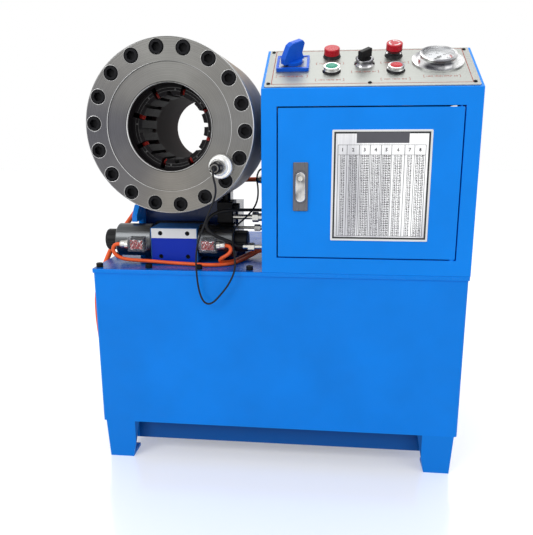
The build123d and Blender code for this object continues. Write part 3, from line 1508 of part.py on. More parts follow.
def make_power_plug():
    """Round plug lying on the floor: tapered tail, grip, open shroud and pins."""
    tail = Cone(plug_tail_radius, plug_grip_radius * 0.7, plug_tail_length, align=LOW)
    grip_end = plug_tail_length + plug_grip_length
    shroud_end = grip_end + plug_shroud_length
    grip = Pos(0, 0, plug_tail_length) * Cone(
        plug_grip_radius * 0.8, plug_grip_radius, plug_grip_length, align=LOW)
    shroud = post(plug_shroud_radius, grip_end, shroud_end)
    shroud -= post(plug_shroud_radius - plug_shroud_wall, grip_end + 4, shroud_end + 1)
    plug = tail + grip + shroud
    for index in range(4):
        angle = math.radians(45 + index * 90)
        plug += Pos(plug_pin_circle * math.cos(angle), plug_pin_circle * math.sin(angle),
                    0) * post(plug_pin_radius, grip_end, grip_end + plug_pin_length)
    x, y = coil_centre()
    return Pos(x + plug_from_coil, y + outer_turn_radius(),
               plug_shroud_radius) * Rot(0, 90, 0) * plug


def make_solids():
    """Every node's name with its solid or solids."""
    die, spring = die_block()
    nodes = {
        "base_cabinet": make_base_cabinet(),
        "base_lid": make_base_lid(),
        "lid_bolts": make_lid_bolts(),
        "underframe": make_underframe(),
        "filler_breather": make_filler_breather(),
        "control_box": make_control_box(),
        "control_panel": make_control_panel(),
        "panel_bezels": make_panel_bezels(),
        "switch_plate": make_switch_plate(),
        "switch_handle": make_switch_handle(),
        "pilot_lamp": make_pilot_lamp(),
        "green_button": make_flush_button("green"),
        "red_button": make_flush_button("red"),
        "stop_button": make_stop_button(),
        "selector_knob": make_selector_knob(),
        "gauge_case": make_gauge_case(),
        "gauge_needle": make_gauge_needle(),
        "gauge_glass": make_gauge_glass(),
        "door": make_door(),
        "hinge_pins": make_hinge_pins(),
        "latch_plate": make_latch_plate(),
        "latch_handle": make_latch_handle(),
        "data_plate": make_data_plate(),
        "gear_plate": make_gear_plate(),
        "switchgear": make_switchgear() + [make_terminal_strip()],
        "motor_housing": [make_motor_housing(), make_motor_cowl()],
        "motor_rotor": make_motor_rotor(),
        "pump": make_pump(),
        "pedestal": make_pedestal(),
        "front_flange": make_front_flange(),
        "head_barrel": make_head_barrel(),
        "rear_flange": make_rear_flange(),
        "flange_bolts": make_flange_bolts(),
        "piston": [make_piston()] + make_piston_seals(),
        "guide_sleeve": make_guide_sleeve(),
        "valve_subplate": make_valve_subplate(),
        "valve_body": make_valve_body(),
        "solenoids": make_solenoids(),
        "solenoid_caps": make_solenoid_caps(),
        "solenoid_plugs": make_solenoid_plugs(),
        "port_block": make_port_block(),
        "wall_fittings": make_wall_fittings(),
        "stop_spindle": make_stop_spindle(),
        "stop_thimble": make_stop_thimble(),
        "contact_rod": make_contact_rod(),
        "power_cord_run": make_power_cord_run(),
        "power_cord_coil": make_power_cord_coil(),
        "power_plug": make_power_plug(),
        "solenoid_cable_left": make_cord("left coil cable", LEFT_COIL_ROUTE,
                                         solenoid_cable_diameter),
        "solenoid_cable_right": make_cord("right coil cable", RIGHT_COIL_ROUTE,
                                          solenoid_cable_diameter),
        "sensor_cable": make_cord("sensor cable", SENSOR_ROUTE, sensor_cable_diameter),
        "gauge_hose": make_cord("gauge hose", HOSE_ROUTE, gauge_hose_diameter),
    }
    for index in range(die_count):
        turn = head_plane * Rot(0, 0, die_clock + index * 360 / die_count)
        nodes[f"master_die_{index + 1}"] = [turn * die, turn * spring]
    return nodes


os.makedirs("parts", exist_ok=True)
for node, shape in make_solids().items():
    if isinstance(shape, list):
        solids = [solid for piece in shape for solid in piece.solids()]
        shape = Compound(children=solids)
    export_step(shape, f"parts/{node}.step")
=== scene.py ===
import json
import math

import bmesh
import bpy
from mathutils import Matrix, Vector


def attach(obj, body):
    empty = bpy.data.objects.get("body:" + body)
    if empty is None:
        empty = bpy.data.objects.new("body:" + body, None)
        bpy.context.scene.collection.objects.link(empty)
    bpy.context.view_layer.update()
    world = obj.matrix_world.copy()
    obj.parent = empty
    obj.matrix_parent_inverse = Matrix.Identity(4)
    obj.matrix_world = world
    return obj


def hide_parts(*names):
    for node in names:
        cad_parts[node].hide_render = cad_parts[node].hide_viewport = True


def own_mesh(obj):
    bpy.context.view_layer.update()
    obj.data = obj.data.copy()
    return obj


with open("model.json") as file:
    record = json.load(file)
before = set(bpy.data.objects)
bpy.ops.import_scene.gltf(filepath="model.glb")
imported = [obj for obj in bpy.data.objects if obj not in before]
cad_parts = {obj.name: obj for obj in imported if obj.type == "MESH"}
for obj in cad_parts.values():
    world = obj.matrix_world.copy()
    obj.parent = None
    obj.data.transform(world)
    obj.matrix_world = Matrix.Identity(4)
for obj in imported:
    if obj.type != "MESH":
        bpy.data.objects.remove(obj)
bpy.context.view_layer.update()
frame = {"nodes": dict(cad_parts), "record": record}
MM = 0.001

# Places that the model and its pieces share, in millimetres
LID_FRONT_Y = -189.2
LID_TOP_Z = 392.5
LID_LEFT_X = -350.0
BOX_LEFT_X = -23.5
BOX_FRONT_HEIGHT = 324.0
BOX_BACK_HEIGHT = 402.5
SLOPE_DEPTH = 133.5
SLOPE_ANGLE = math.atan2(BOX_BACK_HEIGHT - BOX_FRONT_HEIGHT, SLOPE_DEPTH)
HEAD = Vector((-186.6, -196.2, 652.9))


def over_lid(x, depth, height):
    """A place by its depth behind the lid's front edge and height over the lid, in metres."""
    return Vector((x, LID_FRONT_Y + depth, LID_TOP_Z + height)) * MM


# Camera, fitted to the photograph: turn in degrees, focal length and picture's side in pixels

CAMERA_PLACE = (96.65, -1034.6, 248.13)
CAMERA_TURN = (-6.157, -12.920, -0.213)
FOCAL_PIXELS = 580.88
PHOTO_SIDE = 535
SENSOR_SIDE = 36


def add_camera():
    """Camera at the photograph's viewing angle, turned by yaw, pitch and roll."""
    yaw, pitch, roll = (math.radians(a) for a in CAMERA_TURN)
    forward = Vector((math.sin(yaw) * math.cos(pitch), math.cos(yaw) * math.cos(pitch),
                      math.sin(pitch)))
    right = Vector((math.cos(yaw), -math.sin(yaw), 0))
    up = right.cross(forward)
    side = math.cos(roll) * right + math.sin(roll) * up
    top = -math.sin(roll) * right + math.cos(roll) * up
    camera = bpy.data.objects.new("camera", bpy.data.cameras.new("camera"))
    bpy.context.scene.collection.objects.link(camera)
    turn = Matrix((side, top, -forward)).transposed().to_4x4()
    camera.matrix_world = Matrix.Translation(over_lid(*CAMERA_PLACE)) @ turn
    camera.data.lens = FOCAL_PIXELS / PHOTO_SIDE * SENSOR_SIDE
    camera.data.sensor_width = SENSOR_SIDE
    camera.data.clip_end = 50
    bpy.context.scene.camera = camera


# Materials

MATS = {}


def fill(made, entries):
    """A shader node with values typed into its sockets."""
    for name, value in entries.items():
        made.inputs[name].default_value = value
    return made


def material(name, color, rough=0.5, metal=0.0, coat=0.0, alpha=1.0, specular=0.5):
    """A plain material, kept in MATS under its name."""
    mat = bpy.data.materials.new(name)
    mat.use_nodes = True
    fill(mat.node_tree.nodes["Principled BSDF"], {
        "Base Color": (*color, 1), "Roughness": rough, "Metallic": metal, "Coat Weight": coat,
        "Specular IOR Level": specular, "Alpha": alpha})
    MATS[name] = mat
    return mat


def node(mat, kind, **settings):
    """A new shader node of a material or world."""
    made = mat.node_tree.nodes.new(kind)
    for key, value in settings.items():
        setattr(made, key, value)
    return made


def link(mat, output, entry):
    mat.node_tree.links.new(output, entry)


def place_coords(mat, scale=(1, 1, 1), at=(0, 0, 0)):
    """Object coordinates, moved so that a point of the object is their zero."""
    mapping = fill(node(mat, "ShaderNodeMapping"), {"Location": at, "Scale": scale})
    link(mat, node(mat, "ShaderNodeTexCoord").outputs["Object"], mapping.inputs["Vector"])
    return mapping.outputs["Vector"]


def axes(mat, vector):
    """A vector's X, Y and Z."""
    split = node(mat, "ShaderNodeSeparateXYZ")
    link(mat, vector, split.inputs["Vector"])
    return split.outputs


def times(mat, first, second):
    """Two colours multiplied."""
    both = node(mat, "ShaderNodeVectorMath", operation="MULTIPLY")
    link(mat, first, both.inputs[0])
    link(mat, second, both.inputs[1])
    return both.outputs["Vector"]


def noise(mat, vector, scale, detail=4.0, rough=0.5):
    made = fill(node(mat, "ShaderNodeTexNoise"), {
        "Scale": scale, "Detail": detail, "Roughness": rough})
    link(mat, vector, made.inputs["Vector"])
    return made.outputs["Fac"]


def ramp(mat, value, low, high, start=0.3, end=0.7):
    """Colour ramp from low to high."""
    made = node(mat, "ShaderNodeValToRGB")
    for stop, place, color in zip(made.color_ramp.elements, (start, end), (low, high)):
        stop.position = place
        stop.color = (*color, 1)
    link(mat, value, made.inputs["Fac"])
    return made.outputs["Color"]


def spread(mat, value, low, high, start=0.3, end=0.7):
    """A value mapped from one range to another."""
    made = fill(node(mat, "ShaderNodeMapRange"), {
        "From Min": start, "From Max": end, "To Min": low, "To Max": high})
    link(mat, value, made.inputs["Value"])
    return made.outputs["Result"]


def bump(mat, value, strength, distance):
    """Fine relief from a value."""
    made = fill(node(mat, "ShaderNodeBump"), {"Strength": strength, "Distance": distance})
    link(mat, value, made.inputs["Height"])
    shade(mat, "Normal", made.outputs["Normal"])


def shade(mat, socket, output):
    link(mat, output, mat.node_tree.nodes["Principled BSDF"].inputs[socket])


def tone(color, factor):
    return tuple(min(1.0, c * factor) for c in color)


def paint(name, color, rough=0.32, coat=0.05, peel=0.12):
    """Sprayed gloss paint: slight orange peel and uneven gloss."""
    mat = material(name, color, rough, 0.0, coat)
    fill(mat.node_tree.nodes["Principled BSDF"], {
        "Coat Roughness": 0.12, "Specular IOR Level": 0.16})
    where = place_coords(mat)
    cloud = noise(mat, where, 9, 3)
    shade(mat, "Base Color", ramp(mat, cloud, tone(color, 0.93), tone(color, 1.05)))
    shade(mat, "Roughness", spread(mat, noise(mat, where, 40, 5), rough - 0.06, rough + 0.08))
    bump(mat, noise(mat, where, 420, 2), peel, 0.0004)
    return mat


def grained(name, color, rough=0.34, scale=(900, 900, 12), contrast=0.14):
    """Metal with a fine straight grain along one axis."""
    mat = material(name, color, rough, 1.0)
    where = place_coords(mat, scale)
    lines = noise(mat, where, 1.0, 3, 0.6)
    shade(mat, "Base Color", ramp(mat, lines, tone(color, 1 - contrast), tone(color, 1 + contrast)))
    shade(mat, "Roughness", spread(mat, lines, rough - 0.07, rough + 0.1))
    bump(mat, lines, 0.10, 0.0002)
    return mat


def painted_sheen_ramp(mat, flat, sheen_tones):
    """Painted sheen: light and shade placed as colours round the head's axis, anticlockwise from
    the operator's left.
    """
    sweep = node(mat, "ShaderNodeTexGradient", gradient_type="RADIAL")
    link(mat, flat, sweep.inputs["Vector"])
    made = node(mat, "ShaderNodeValToRGB")
    made.color_ramp.interpolation = "EASE"
    stops = made.color_ramp.elements
    while len(stops) < len(sheen_tones):
        stops.new(0.5)
    for index, color in enumerate(sheen_tones):
        stops[index].position = index / (len(sheen_tones) - 1)
    for stop, color in zip(stops, sheen_tones):
        stop.color = (*color, 1)
    link(mat, sweep.outputs["Fac"], made.inputs["Fac"])
    return made.outputs["Color"]


PLAIN_TONES = ((1, 1, 1), (1, 1, 1))
# Painted sheen on the flange's face: light and dark sectors round the axis, standing in for
# reflections in turned metal
FACE_PAINTED_SHEEN = ((0.46, 0.46, 0.52), (0.60, 0.59, 0.62), (1.0, 0.95, 0.88), (0.90, 0.88, 0.84),
              (0.84, 0.84, 0.84), (0.94, 0.93, 0.90), (1.0, 1.0, 0.97), (0.78, 0.77, 0.76),
              (0.46, 0.46, 0.52))
# Painted highlights and shade on the bright rims, placed round the head: brightest on the left,
# darkest at the top
RIM_PAINTED_HIGHLIGHTS = ((1, 1, 1), (1, 1, 1), (0.45, 0.44, 0.42), (0.5, 0.5, 0.5), (0.9, 0.9, 0.9),
             (0.8, 0.8, 0.8), (0.25, 0.25, 0.24), (0.6, 0.6, 0.6), (1, 1, 1))


def turned(name, color, centre, rough=0.36, contrast=0.10, metal=1.0, sheen_tones=PLAIN_TONES,
           specular=0.5):
    """Metal turned about the head's axis: fine rings, faint scuffs, an uneven polish, and a painted
    sheen of light and shade round the axis.
    """
    mat = material(name, color, rough, metal, specular=specular)
    split = axes(mat, place_coords(mat, at=tuple(-c * MM for c in centre)))
    flat = node(mat, "ShaderNodeCombineXYZ")
    link(mat, split["X"], flat.inputs["X"])
    link(mat, split["Z"], flat.inputs["Y"])
    reach = node(mat, "ShaderNodeVectorMath", operation="LENGTH")
    link(mat, flat.outputs["Vector"], reach.inputs[0])
    rings = fill(node(mat, "ShaderNodeTexNoise", noise_dimensions="1D"), {
        "Scale": 900, "Detail": 3})
    link(mat, reach.outputs["Value"], rings.inputs["W"])
    cloud = noise(mat, place_coords(mat), 22, 4)
    mix = node(mat, "ShaderNodeMath", operation="MULTIPLY_ADD")
    mix.inputs[1].default_value = 0.45
    link(mat, cloud, mix.inputs[0])
    link(mat, rings.outputs["Fac"], mix.inputs[2])
    fine = ramp(mat, mix.outputs["Value"], tone(color, 1 - contrast), tone(color, 1 + contrast),
                0.5, 0.95)
    # Painted sheen: the fine colour multiplied by light and shade placed round the axis
    shade(mat, "Base Color", times(mat, fine, painted_sheen_ramp(mat, flat.outputs["Vector"], sheen_tones)))
    shade(mat, "Roughness", spread(mat, rings.outputs["Fac"], rough - 0.06, rough + 0.10))
    bump(mat, rings.outputs["Fac"], 0.12, 0.0002)
    return mat


def moulded(name, color, rough=0.45, grain=600, depth=0.08, **more):
    """Moulded plastic or rubber with a fine skin."""
    mat = material(name, color, rough, **more)
    where = place_coords(mat)
    fine = noise(mat, where, grain, 2)
    shade(mat, "Base Color", ramp(mat, noise(mat, where, 30, 3), tone(color, 0.92),
                                  tone(color, 1.08)))
    shade(mat, "Roughness", spread(mat, fine, rough - 0.06, rough + 0.08))
    bump(mat, fine, depth, 0.0002)
    return mat


def chrome(name, low=0.16, high=0.86, scale=22, rough=0.12):
    """Polished plating with dark and light patches of painted reflection, and fine scratches."""
    mat = material(name, (high, high, high), rough, 1.0)
    # Painted reflection: dark and light patches standing in for a room mirrored in the plating
    reflection_patch = noise(mat, place_coords(mat, (1, 1, 2.5)), scale, 1.5, 0.4)
    shade(mat, "Base Color", ramp(mat, reflection_patch, (low, low, low * 1.1), (high, high, high),
                                  0.40, 0.56))
    fine = noise(mat, place_coords(mat, (400, 400, 60)), 1.0, 3)
    shade(mat, "Roughness", spread(mat, fine, rough - 0.04, rough + 0.08))
    bump(mat, fine, 0.05, 0.0002)
    return mat


BLUE = (0.0005, 0.228, 0.85)
# Lid's top: the cabinet's blue darkened as a painted reflection
LID_TOP_PAINTED_REFLECTION = (0.0005, 0.10, 0.44)
paint("machine_blue", BLUE, 0.38)
paint("box_blue", (0.0005, 0.252, 0.92), 0.36)
paint("lid_blue", LID_TOP_PAINTED_REFLECTION, 0.26, 0.05, 0.05)
paint("legs_blue", (0.0008, 0.185, 0.72), 0.42)
# Flange face with its painted sheen round the axis
turned("turned_steel", (0.215, 0.213, 0.208), HEAD, 0.34, 0.20, 1.0, FACE_PAINTED_SHEEN)
moulded("die_steel", (0.0075, 0.0065, 0.0075), 0.55, 500, 0.3, specular=0.12)
moulded("black_steel", (0.0045, 0.0045, 0.006), 0.42, 300, 0.15, specular=0.14)
grained("zinc_steel", (0.62, 0.61, 0.57), 0.30, (700, 700, 60), 0.08)
chrome("bright_chrome")
grained("panel_plate", (0.335, 0.345, 0.325), 0.42, (10, 900, 900), 0.12)
grained("table_plate", (0.90, 0.90, 0.91), 0.36, (900, 900, 10), 0.14)
grained("valve_grey", (0.105, 0.11, 0.115), 0.30, (20, 700, 700), 0.2)
paint("valve_blue", (0.02, 0.12, 0.36), 0.40, 0.1, 0.2)
grained("white_aluminium", (0.80, 0.80, 0.78), 0.34, (500, 20, 500), 0.05)
moulded("black_plastic", (0.008, 0.008, 0.009), 0.42, specular=0.2)
moulded("blue_plastic", (0.003, 0.105, 0.66), 0.32, specular=0.25)
moulded("red_plastic", (0.50, 0.010, 0.022), 0.28, coat=0.05, specular=0.25)
moulded("green_plastic", (0.01, 0.27, 0.17), 0.30, coat=0.05, specular=0.25)
moulded("grey_plastic", (0.22, 0.23, 0.24), 0.45)
moulded("clear_plastic", (0.60, 0.60, 0.64), 0.10, alpha=0.14, specular=0.35)
material("gauge_glass", (0.95, 0.97, 0.97), 0.03, alpha=0.14, coat=0.6)
moulded("orange_jacket", (0.92, 0.125, 0.026), 0.42, specular=0.3)
moulded("black_jacket", (0.009, 0.009, 0.010), 0.48, specular=0.2)
paint("motor_grey", (0.10, 0.115, 0.13), 0.5, 0.05, 0.3)
turned("barrel_steel", (0.26, 0.205, 0.155), HEAD, 0.45, 0.25, 0.15, specular=0.2)
grained("latch_chrome", (0.60, 0.59, 0.57), 0.20, (300, 300, 40), 0.12)
grained("latch_grey", (0.14, 0.14, 0.155), 0.30, (300, 300, 40), 0.12)
paint("table_white", (0.86, 0.87, 0.86), 0.35, 0.2, 0.05)
moulded("table_black", (0.012, 0.012, 0.014), 0.35)
moulded("table_grey", (0.085, 0.085, 0.10), 0.4)
moulded("panel_red", (0.30, 0.055, 0.035), 0.45)
moulded("dial_white", (0.82, 0.83, 0.84), 0.5)
moulded("dial_red", (0.62, 0.05, 0.04), 0.45)
chrome("plug_works", 0.16, 0.9, 160, 0.2)
paint("blue_label", (0.004, 0.030, 0.44), 0.35, 0.03, 0.04)
paint("red_spring", (0.55, 0.03, 0.02), 0.35, 0.3, 0.05)
turned("bore_steel", (0.036, 0.023, 0.023), HEAD, 0.6, 0.3, 0.0, specular=0.04)
# Rims with painted highlights and shade round the head
turned("rim_steel", (0.60, 0.60, 0.60), HEAD, 0.28, 0.1, 1.0, RIM_PAINTED_HIGHLIGHTS)
grained("scribe_grey", (0.11, 0.11, 0.11), 0.4, (300, 300, 300), 0.3)
grained("inset_grey", (0.26, 0.28, 0.34), 0.4, (10, 900, 900), 0.1)


def painted_light_split(mat, axis, first, second, start, end, mirrored=False):
    """Two colours of one paint, parted at a place along an axis of the object; the darker one is
    painted shade, on the lid a painted reflection.
    """
    value = axes(mat, place_coords(mat))[axis]
    if mirrored:
        size = node(mat, "ShaderNodeMath", operation="ABSOLUTE")
        link(mat, value, size.inputs[0])
        value = size.outputs["Value"]
    side = spread(mat, value, 0.0, 1.0, start, end)
    shade(mat, "Base Color", ramp(mat, side, first, second, 0.45, 0.55))


def reflection_bands(mat, low, scale, stretch):
    """Broad dark bands multiplied into a finished metal: a painted reflection of a room mirrored in
    a plate.
    """
    shader = mat.node_tree.nodes["Principled BSDF"]
    before = shader.inputs["Base Color"].links[0].from_socket
    bands = ramp(mat, noise(mat, place_coords(mat, stretch), scale, 1.0, 0.4),
                 (low, low, low * 1.05), (1.08, 1.08, 1.08), 0.38, 0.58)
    shade(mat, "Base Color", times(mat, before, bands))


# Painted shade: a navy wall under the head beside the sky-blue gusset, and dark rails between the
# legs; a painted dark reflection on the lid's top, its edge bright
# Painted shade: the pedestal's wall navy, its left gusset the cabinet's blue
painted_light_split(paint("pedestal_blue_painted_shade", (0.001, 0.02, 0.11), 0.22, 0.3, 0.05), "X", BLUE,
         (0.002, 0.022, 0.12), -0.2855, -0.2835)
# Painted shade: the rails between the legs darker than the legs
painted_light_split(MATS["legs_blue"], "X", (0.0006, 0.082, 0.33), (0.0008, 0.215, 0.80), 0.2825,
         0.2835, True)
# Painted reflection: the lid's top dark, its edges in the cabinet's blue
painted_light_split(MATS["lid_blue"], "Z", BLUE, LID_TOP_PAINTED_REFLECTION, 0.3919, 0.3923)
# Painted reflections: broad dark bands on the data plate and the latch handle
reflection_bands(MATS["table_plate"], 0.62, 14, (1, 1, 0.25))
reflection_bands(MATS["latch_chrome"], 0.30, 45, (1, 1, 1))
NODE_MATERIALS = {"base_lid": "lid_blue", "guide_sleeve": "bore_steel",
                  "head_barrel": "barrel_steel", "rear_flange": "barrel_steel",
                  "power_cord_run": "orange_jacket", "power_cord_coil": "orange_jacket",
                  "latch_plate": "latch_grey", "latch_handle": "latch_chrome",
                  "hinge_pins": "box_blue",
                  "pedestal": "pedestal_blue_painted_shade"}


def paint_nodes():
    """Each modelled node gets its slot's material."""
    slots = {s["node"]: s["material_slot"] for s in frame["record"]["subparts"]}
    for name, obj in frame["nodes"].items():
        mat = MATS[NODE_MATERIALS.get(name, slots[name])]
        for index in range(max(1, len(obj.material_slots))):
            if not obj.material_slots:
                obj.data.materials.append(mat)
            obj.material_slots[index].link = "OBJECT"
            obj.material_slots[index].material = mat


# Cords: the model's own routes, x, depth behind the lid's front edge, height over the lid

POWER_ROUTE = [
    (-63.5, 262.0, 150.0), (-118.5, 262.0, 150.0), (-172.4, 261.7, 136.6), (-225.6, 254.1, 125.1),
    (-272.3, 226.2, 121.9), (-303.2, 184.6, 107.2), (-327.8, 156.1, 67.4), (-350.4, 125.3, 28.0),
    (-360.9, 91.4, -13.8), (-365.1, 56.0, -55.5), (-363.5, 46.0, -105.3), (-360.0, 47.5, -159.5),
    (-360.0, 60.0, -212.5), (-361.0, 80.0, -261.6), (-363.8, 103.3, -304.8),
    (-363.0, 145.3, -340.2), (-361.8, 193.7, -366.4), (-359.4, 246.5, -381.5),
    (-356.4, 301.2, -386.7), (-353.7, 356.2, -387.3), (-350.7, 411.2, -387.1),
    (-343.6, 465.8, -387.2), (-326.3, 518.0, -387.2), (-297.7, 564.8, -387.2),
    (-259.4, 604.4, -387.2),
]
LEFT_COIL_ROUTE = [
    (-307.0, 47.0, 40.0), (-316.8, 47.0, 40.0), (-322.3, 46.9, 33.8), (-322.9, 46.5, 26.7),
    (-318.0, 46.0, 18.0), (-304.4, 46.1, 10.4), (-280.3, 48.1, 7.8), (-252.2, 50.4, 6.3),
    (-224.0, 49.3, 4.6), (-195.8, 46.4, 3.7), (-168.0, 41.4, 3.6), (-140.1, 36.7, 3.6),
    (-112.0, 38.1, 3.6), (-88.5, 52.8, 3.6), (-76.5, 77.7, 3.6), (-67.3, 104.1, 4.4),
    (-54.1, 119.1, 9.4), (-42.8, 124.0, 16.0), (-31.5, 124.0, 16.0),
]
RIGHT_COIL_ROUTE = [
    (-100.0, 47.0, 40.0), (-92.9, 47.0, 40.0), (-88.3, 45.4, 35.1), (-88.7, 43.2, 29.1),
    (-93.6, 41.4, 23.6), (-102.9, 40.8, 18.2), (-109.1, 42.3, 13.8), (-110.1, 46.4, 9.5),
    (-105.9, 52.2, 6.5), (-97.4, 60.7, 4.3), (-88.6, 77.4, 3.6), (-83.4, 100.8, 3.5),
    (-73.7, 122.5, 4.6), (-59.2, 138.6, 9.3), (-46.9, 146.0, 16.0), (-31.5, 146.0, 16.0),
]
SENSOR_ROUTE = [
    (-92.0, -81.6, 193.5), (-92.0, -88.0, 193.5), (-92.0, -92.6, 188.4), (-91.9, -93.9, 182.1),
    (-91.2, -91.1, 175.0), (-90.4, -83.7, 165.8), (-92.3, -71.3, 151.9), (-100.4, -53.7, 135.1),
    (-111.0, -39.5, 116.0), (-121.7, -27.7, 95.3), (-132.2, -18.6, 73.3), (-141.1, -13.1, 49.4),
    (-144.3, -11.5, 23.7), (-143.6, -11.5, -2.4), (-141.4, -11.5, -27.7), (-137.1, -11.5, -45.3),
    (-131.9, -11.5, -55.5), (-126.0, -11.5, -59.8), (-119.5, -11.5, -59.7), (-111.1, -11.5, -54.8),
    (-100.8, -11.5, -43.2), (-85.9, -11.5, -24.7), (-74.0, -11.0, -1.7), (-71.3, -7.3, 17.4),
    (-75.4, 5.1, 33.2), (-81.0, 25.9, 48.0), (-85.0, 45.4, 63.6), (-79.1, 60.6, 78.1),
    (-61.4, 73.4, 91.8), (-45.6, 80.0, 110.7), (-40.2, 86.4, 128.2), (-41.4, 97.4, 147.5),
    (-45.0, 103.9, 162.5), (-43.5, 107.7, 173.0), (-38.7, 110.0, 182.0), (-31.5, 110.0, 182.0),
]
HOSE_ROUTE = [
    (-31.5, 88.0, 104.0), (-59.8, 88.0, 104.0), (-87.4, 74.2, 105.1), (-113.2, 63.4, 103.7),
    (-128.8, 54.0, 95.4), (-135.0, 48.0, 85.8), (-135.6, 45.3, 77.4), (-130.3, 44.0, 68.4),
    (-117.6, 45.9, 58.4), (-99.6, 48.8, 51.0), (-87.7, 50.1, 45.8), (-78.5, 56.0, 37.0),
    (-66.0, 56.0, 37.0),
]
POWER_DIAMETER = 10.5
COIL_CENTRE = (-215.0, 560.0)
COIL_RADIUS = 57.5
COIL_TURNS = ((62.75, 5.25), (52.25, 5.25), (52.25, 15.75), (62.75, 15.75))
COIL_STEPS = 16
COIL_START = 135
COIL_END = ((4, 16.0), (30, 19.0), (62, 24.0))


def coil_points():
    """The put-away turns, clockwise from where the cord arrives: two layers of two turns."""
    points = []
    x, y = COIL_CENTRE
    following = COIL_TURNS[1:] + COIL_TURNS[-1:]
    for (radius, height), (next_radius, next_height) in zip(COIL_TURNS, following):
        for step in range(COIL_STEPS):
            share = max(0.0, (step - COIL_STEPS + 3) / 3)
            reach = radius + (next_radius - radius) * share
            angle = math.radians(COIL_START - 360 * step / COIL_STEPS)
            points.append((x + reach * math.cos(angle), y + reach * math.sin(angle),
                           height + (next_height - height) * share - LID_TOP_Z))
    last_radius, last_height = COIL_TURNS[-1]
    for step in (COIL_STEPS, COIL_STEPS + 1):
        angle = math.radians(COIL_START - 360 * step / COIL_STEPS)
        points.append((x + last_radius * math.cos(angle), y + last_radius * math.sin(angle),
                       last_height - LID_TOP_Z))
    return points[1:] + [(x + beyond, y + last_radius, height - LID_TOP_Z)
                         for beyond, height in COIL_END]


def cord_curve(name, route, diameter, mat):
    """A round cord on one smooth spline through its route."""
    data = bpy.data.curves.new(name, "CURVE")
    data.dimensions = "3D"
    data.bevel_depth = 1.0
    data.bevel_resolution = 5
    data.resolution_u = 8
    data.use_fill_caps = True
    spline = data.splines.new("NURBS")
    spline.points.add(len(route) - 1)
    for point, place in zip(spline.points, route):
        point.co = (*over_lid(*place), 1)
        point.radius = diameter / 2 * MM
    spline.order_u = 3
    spline.use_endpoint_u = True
    cord = bpy.data.objects.new(name, data)
    bpy.context.scene.collection.objects.link(cord)
    data.materials.append(mat)
    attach(cord, "machine")
    return cord


def curve_length(obj):
    """Length of a curve's own line, in metres."""
    depth, obj.data.bevel_depth = obj.data.bevel_depth, 0
    line = bpy.data.meshes.new_from_object(obj)
    obj.data.bevel_depth = depth
    total = sum((line.vertices[a].co - line.vertices[b].co).length
                for a, b in (e.vertices for e in line.edges))
    bpy.data.meshes.remove(line)
    return total


def add_cords():
    """The five cords, each in place of its modelled run."""
    cords = (
        ("sensor_lead", SENSOR_ROUTE, 3.4, "black_jacket", "sensor_cable", "limp", "hanging"),
        ("left_coil_lead", LEFT_COIL_ROUTE, 7.2, "orange_jacket", "solenoid_cable_left",
         "medium", "loose"),
        ("right_coil_lead", RIGHT_COIL_ROUTE, 7.2, "orange_jacket", "solenoid_cable_right",
         "medium", "loose"),
        ("gauge_line", HOSE_ROUTE, 6.3, "black_jacket", "gauge_hose", "medium", "loose"),
    )
    for name, route, diameter, mat, replaced, stiffness, lay in cords:
        cord = cord_curve(name, route, diameter, MATS[mat])
        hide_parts(replaced)
        curve_length(cord)
    route = POWER_ROUTE + coil_points()
    lead = cord_curve("power_lead", route, POWER_DIAMETER, MATS["orange_jacket"])
    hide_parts("power_cord_run", "power_cord_coil")
    curve_length(lead)


# Shapes made in code

HEAD_FRAME = Matrix(((1, 0, 0, HEAD.x), (0, 0, -1, HEAD.y), (0, 1, 0, HEAD.z), (0, 0, 0, 1)))
PANEL_FRAME = Matrix((
    (1, 0, 0, BOX_LEFT_X),
    (0, math.cos(SLOPE_ANGLE), -math.sin(SLOPE_ANGLE), LID_FRONT_Y),
    (0, math.sin(SLOPE_ANGLE), math.cos(SLOPE_ANGLE), LID_TOP_Z + BOX_FRONT_HEIGHT),
    (0, 0, 0, 1)))
FRONT_FRAME = Matrix(((1, 0, 0, 0), (0, 0, -1, LID_FRONT_Y), (0, 1, 0, LID_TOP_Z), (0, 0, 0, 1)))


def at(x, y, z=0.0):
    return Matrix.Translation((x, y, z))


def in_metres(frame_matrix):
    """A frame with its place given in metres."""
    place = frame_matrix.copy()
    place.translation = place.translation * MM
    return place


def polar(radius, angle, height=0.0):
    """A point round the z axis."""
    return Vector((radius * math.cos(angle), radius * math.sin(angle), height))


def turns(count):
    """Even angles of one full turn."""
    return [2 * math.pi * k / count for k in range(count)]


def arc(start, end, steps):
    """Even angles from start to end."""
    return [start + (end - start) * k / steps for k in range(steps + 1)]


def cap(bm, ring):
    """One face over a closed ring."""
    bm.faces.new(ring)


def join(bm, first, second):
    """A closed band of faces between two rings."""
    for k in range(len(first)):
        j = (k + 1) % len(first)
        bm.faces.new((first[k], first[j], second[j], second[k]))


def strip(bm, frame_matrix, section, angles):
    """An open band round the frame's z, its section given as (radius, height) points."""
    rows = [[bm.verts.new(frame_matrix @ polar(r, angle, z)) for r, z in section]
            for angle in angles]
    for a, b in zip(rows, rows[1:]):
        for k in range(len(section) - 1):
            bm.faces.new((a[k], a[k + 1], b[k + 1], b[k]))
    return rows


def place_mesh(name, mesh, mat, body):
    """A mesh in the scene that rides on a body and fills a slot."""
    obj = bpy.data.objects.new(name, mesh)
    bpy.context.scene.collection.objects.link(obj)
    mesh.materials.append(MATS[mat])
    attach(obj, body)
    return obj


def curve_mesh(curve):
    """A curve's surface as a mesh, in place of the curve."""
    maker = bpy.data.objects.new(curve.name, curve)
    mesh = bpy.data.meshes.new_from_object(maker)
    bpy.data.objects.remove(maker)
    bpy.data.curves.remove(curve)
    return mesh


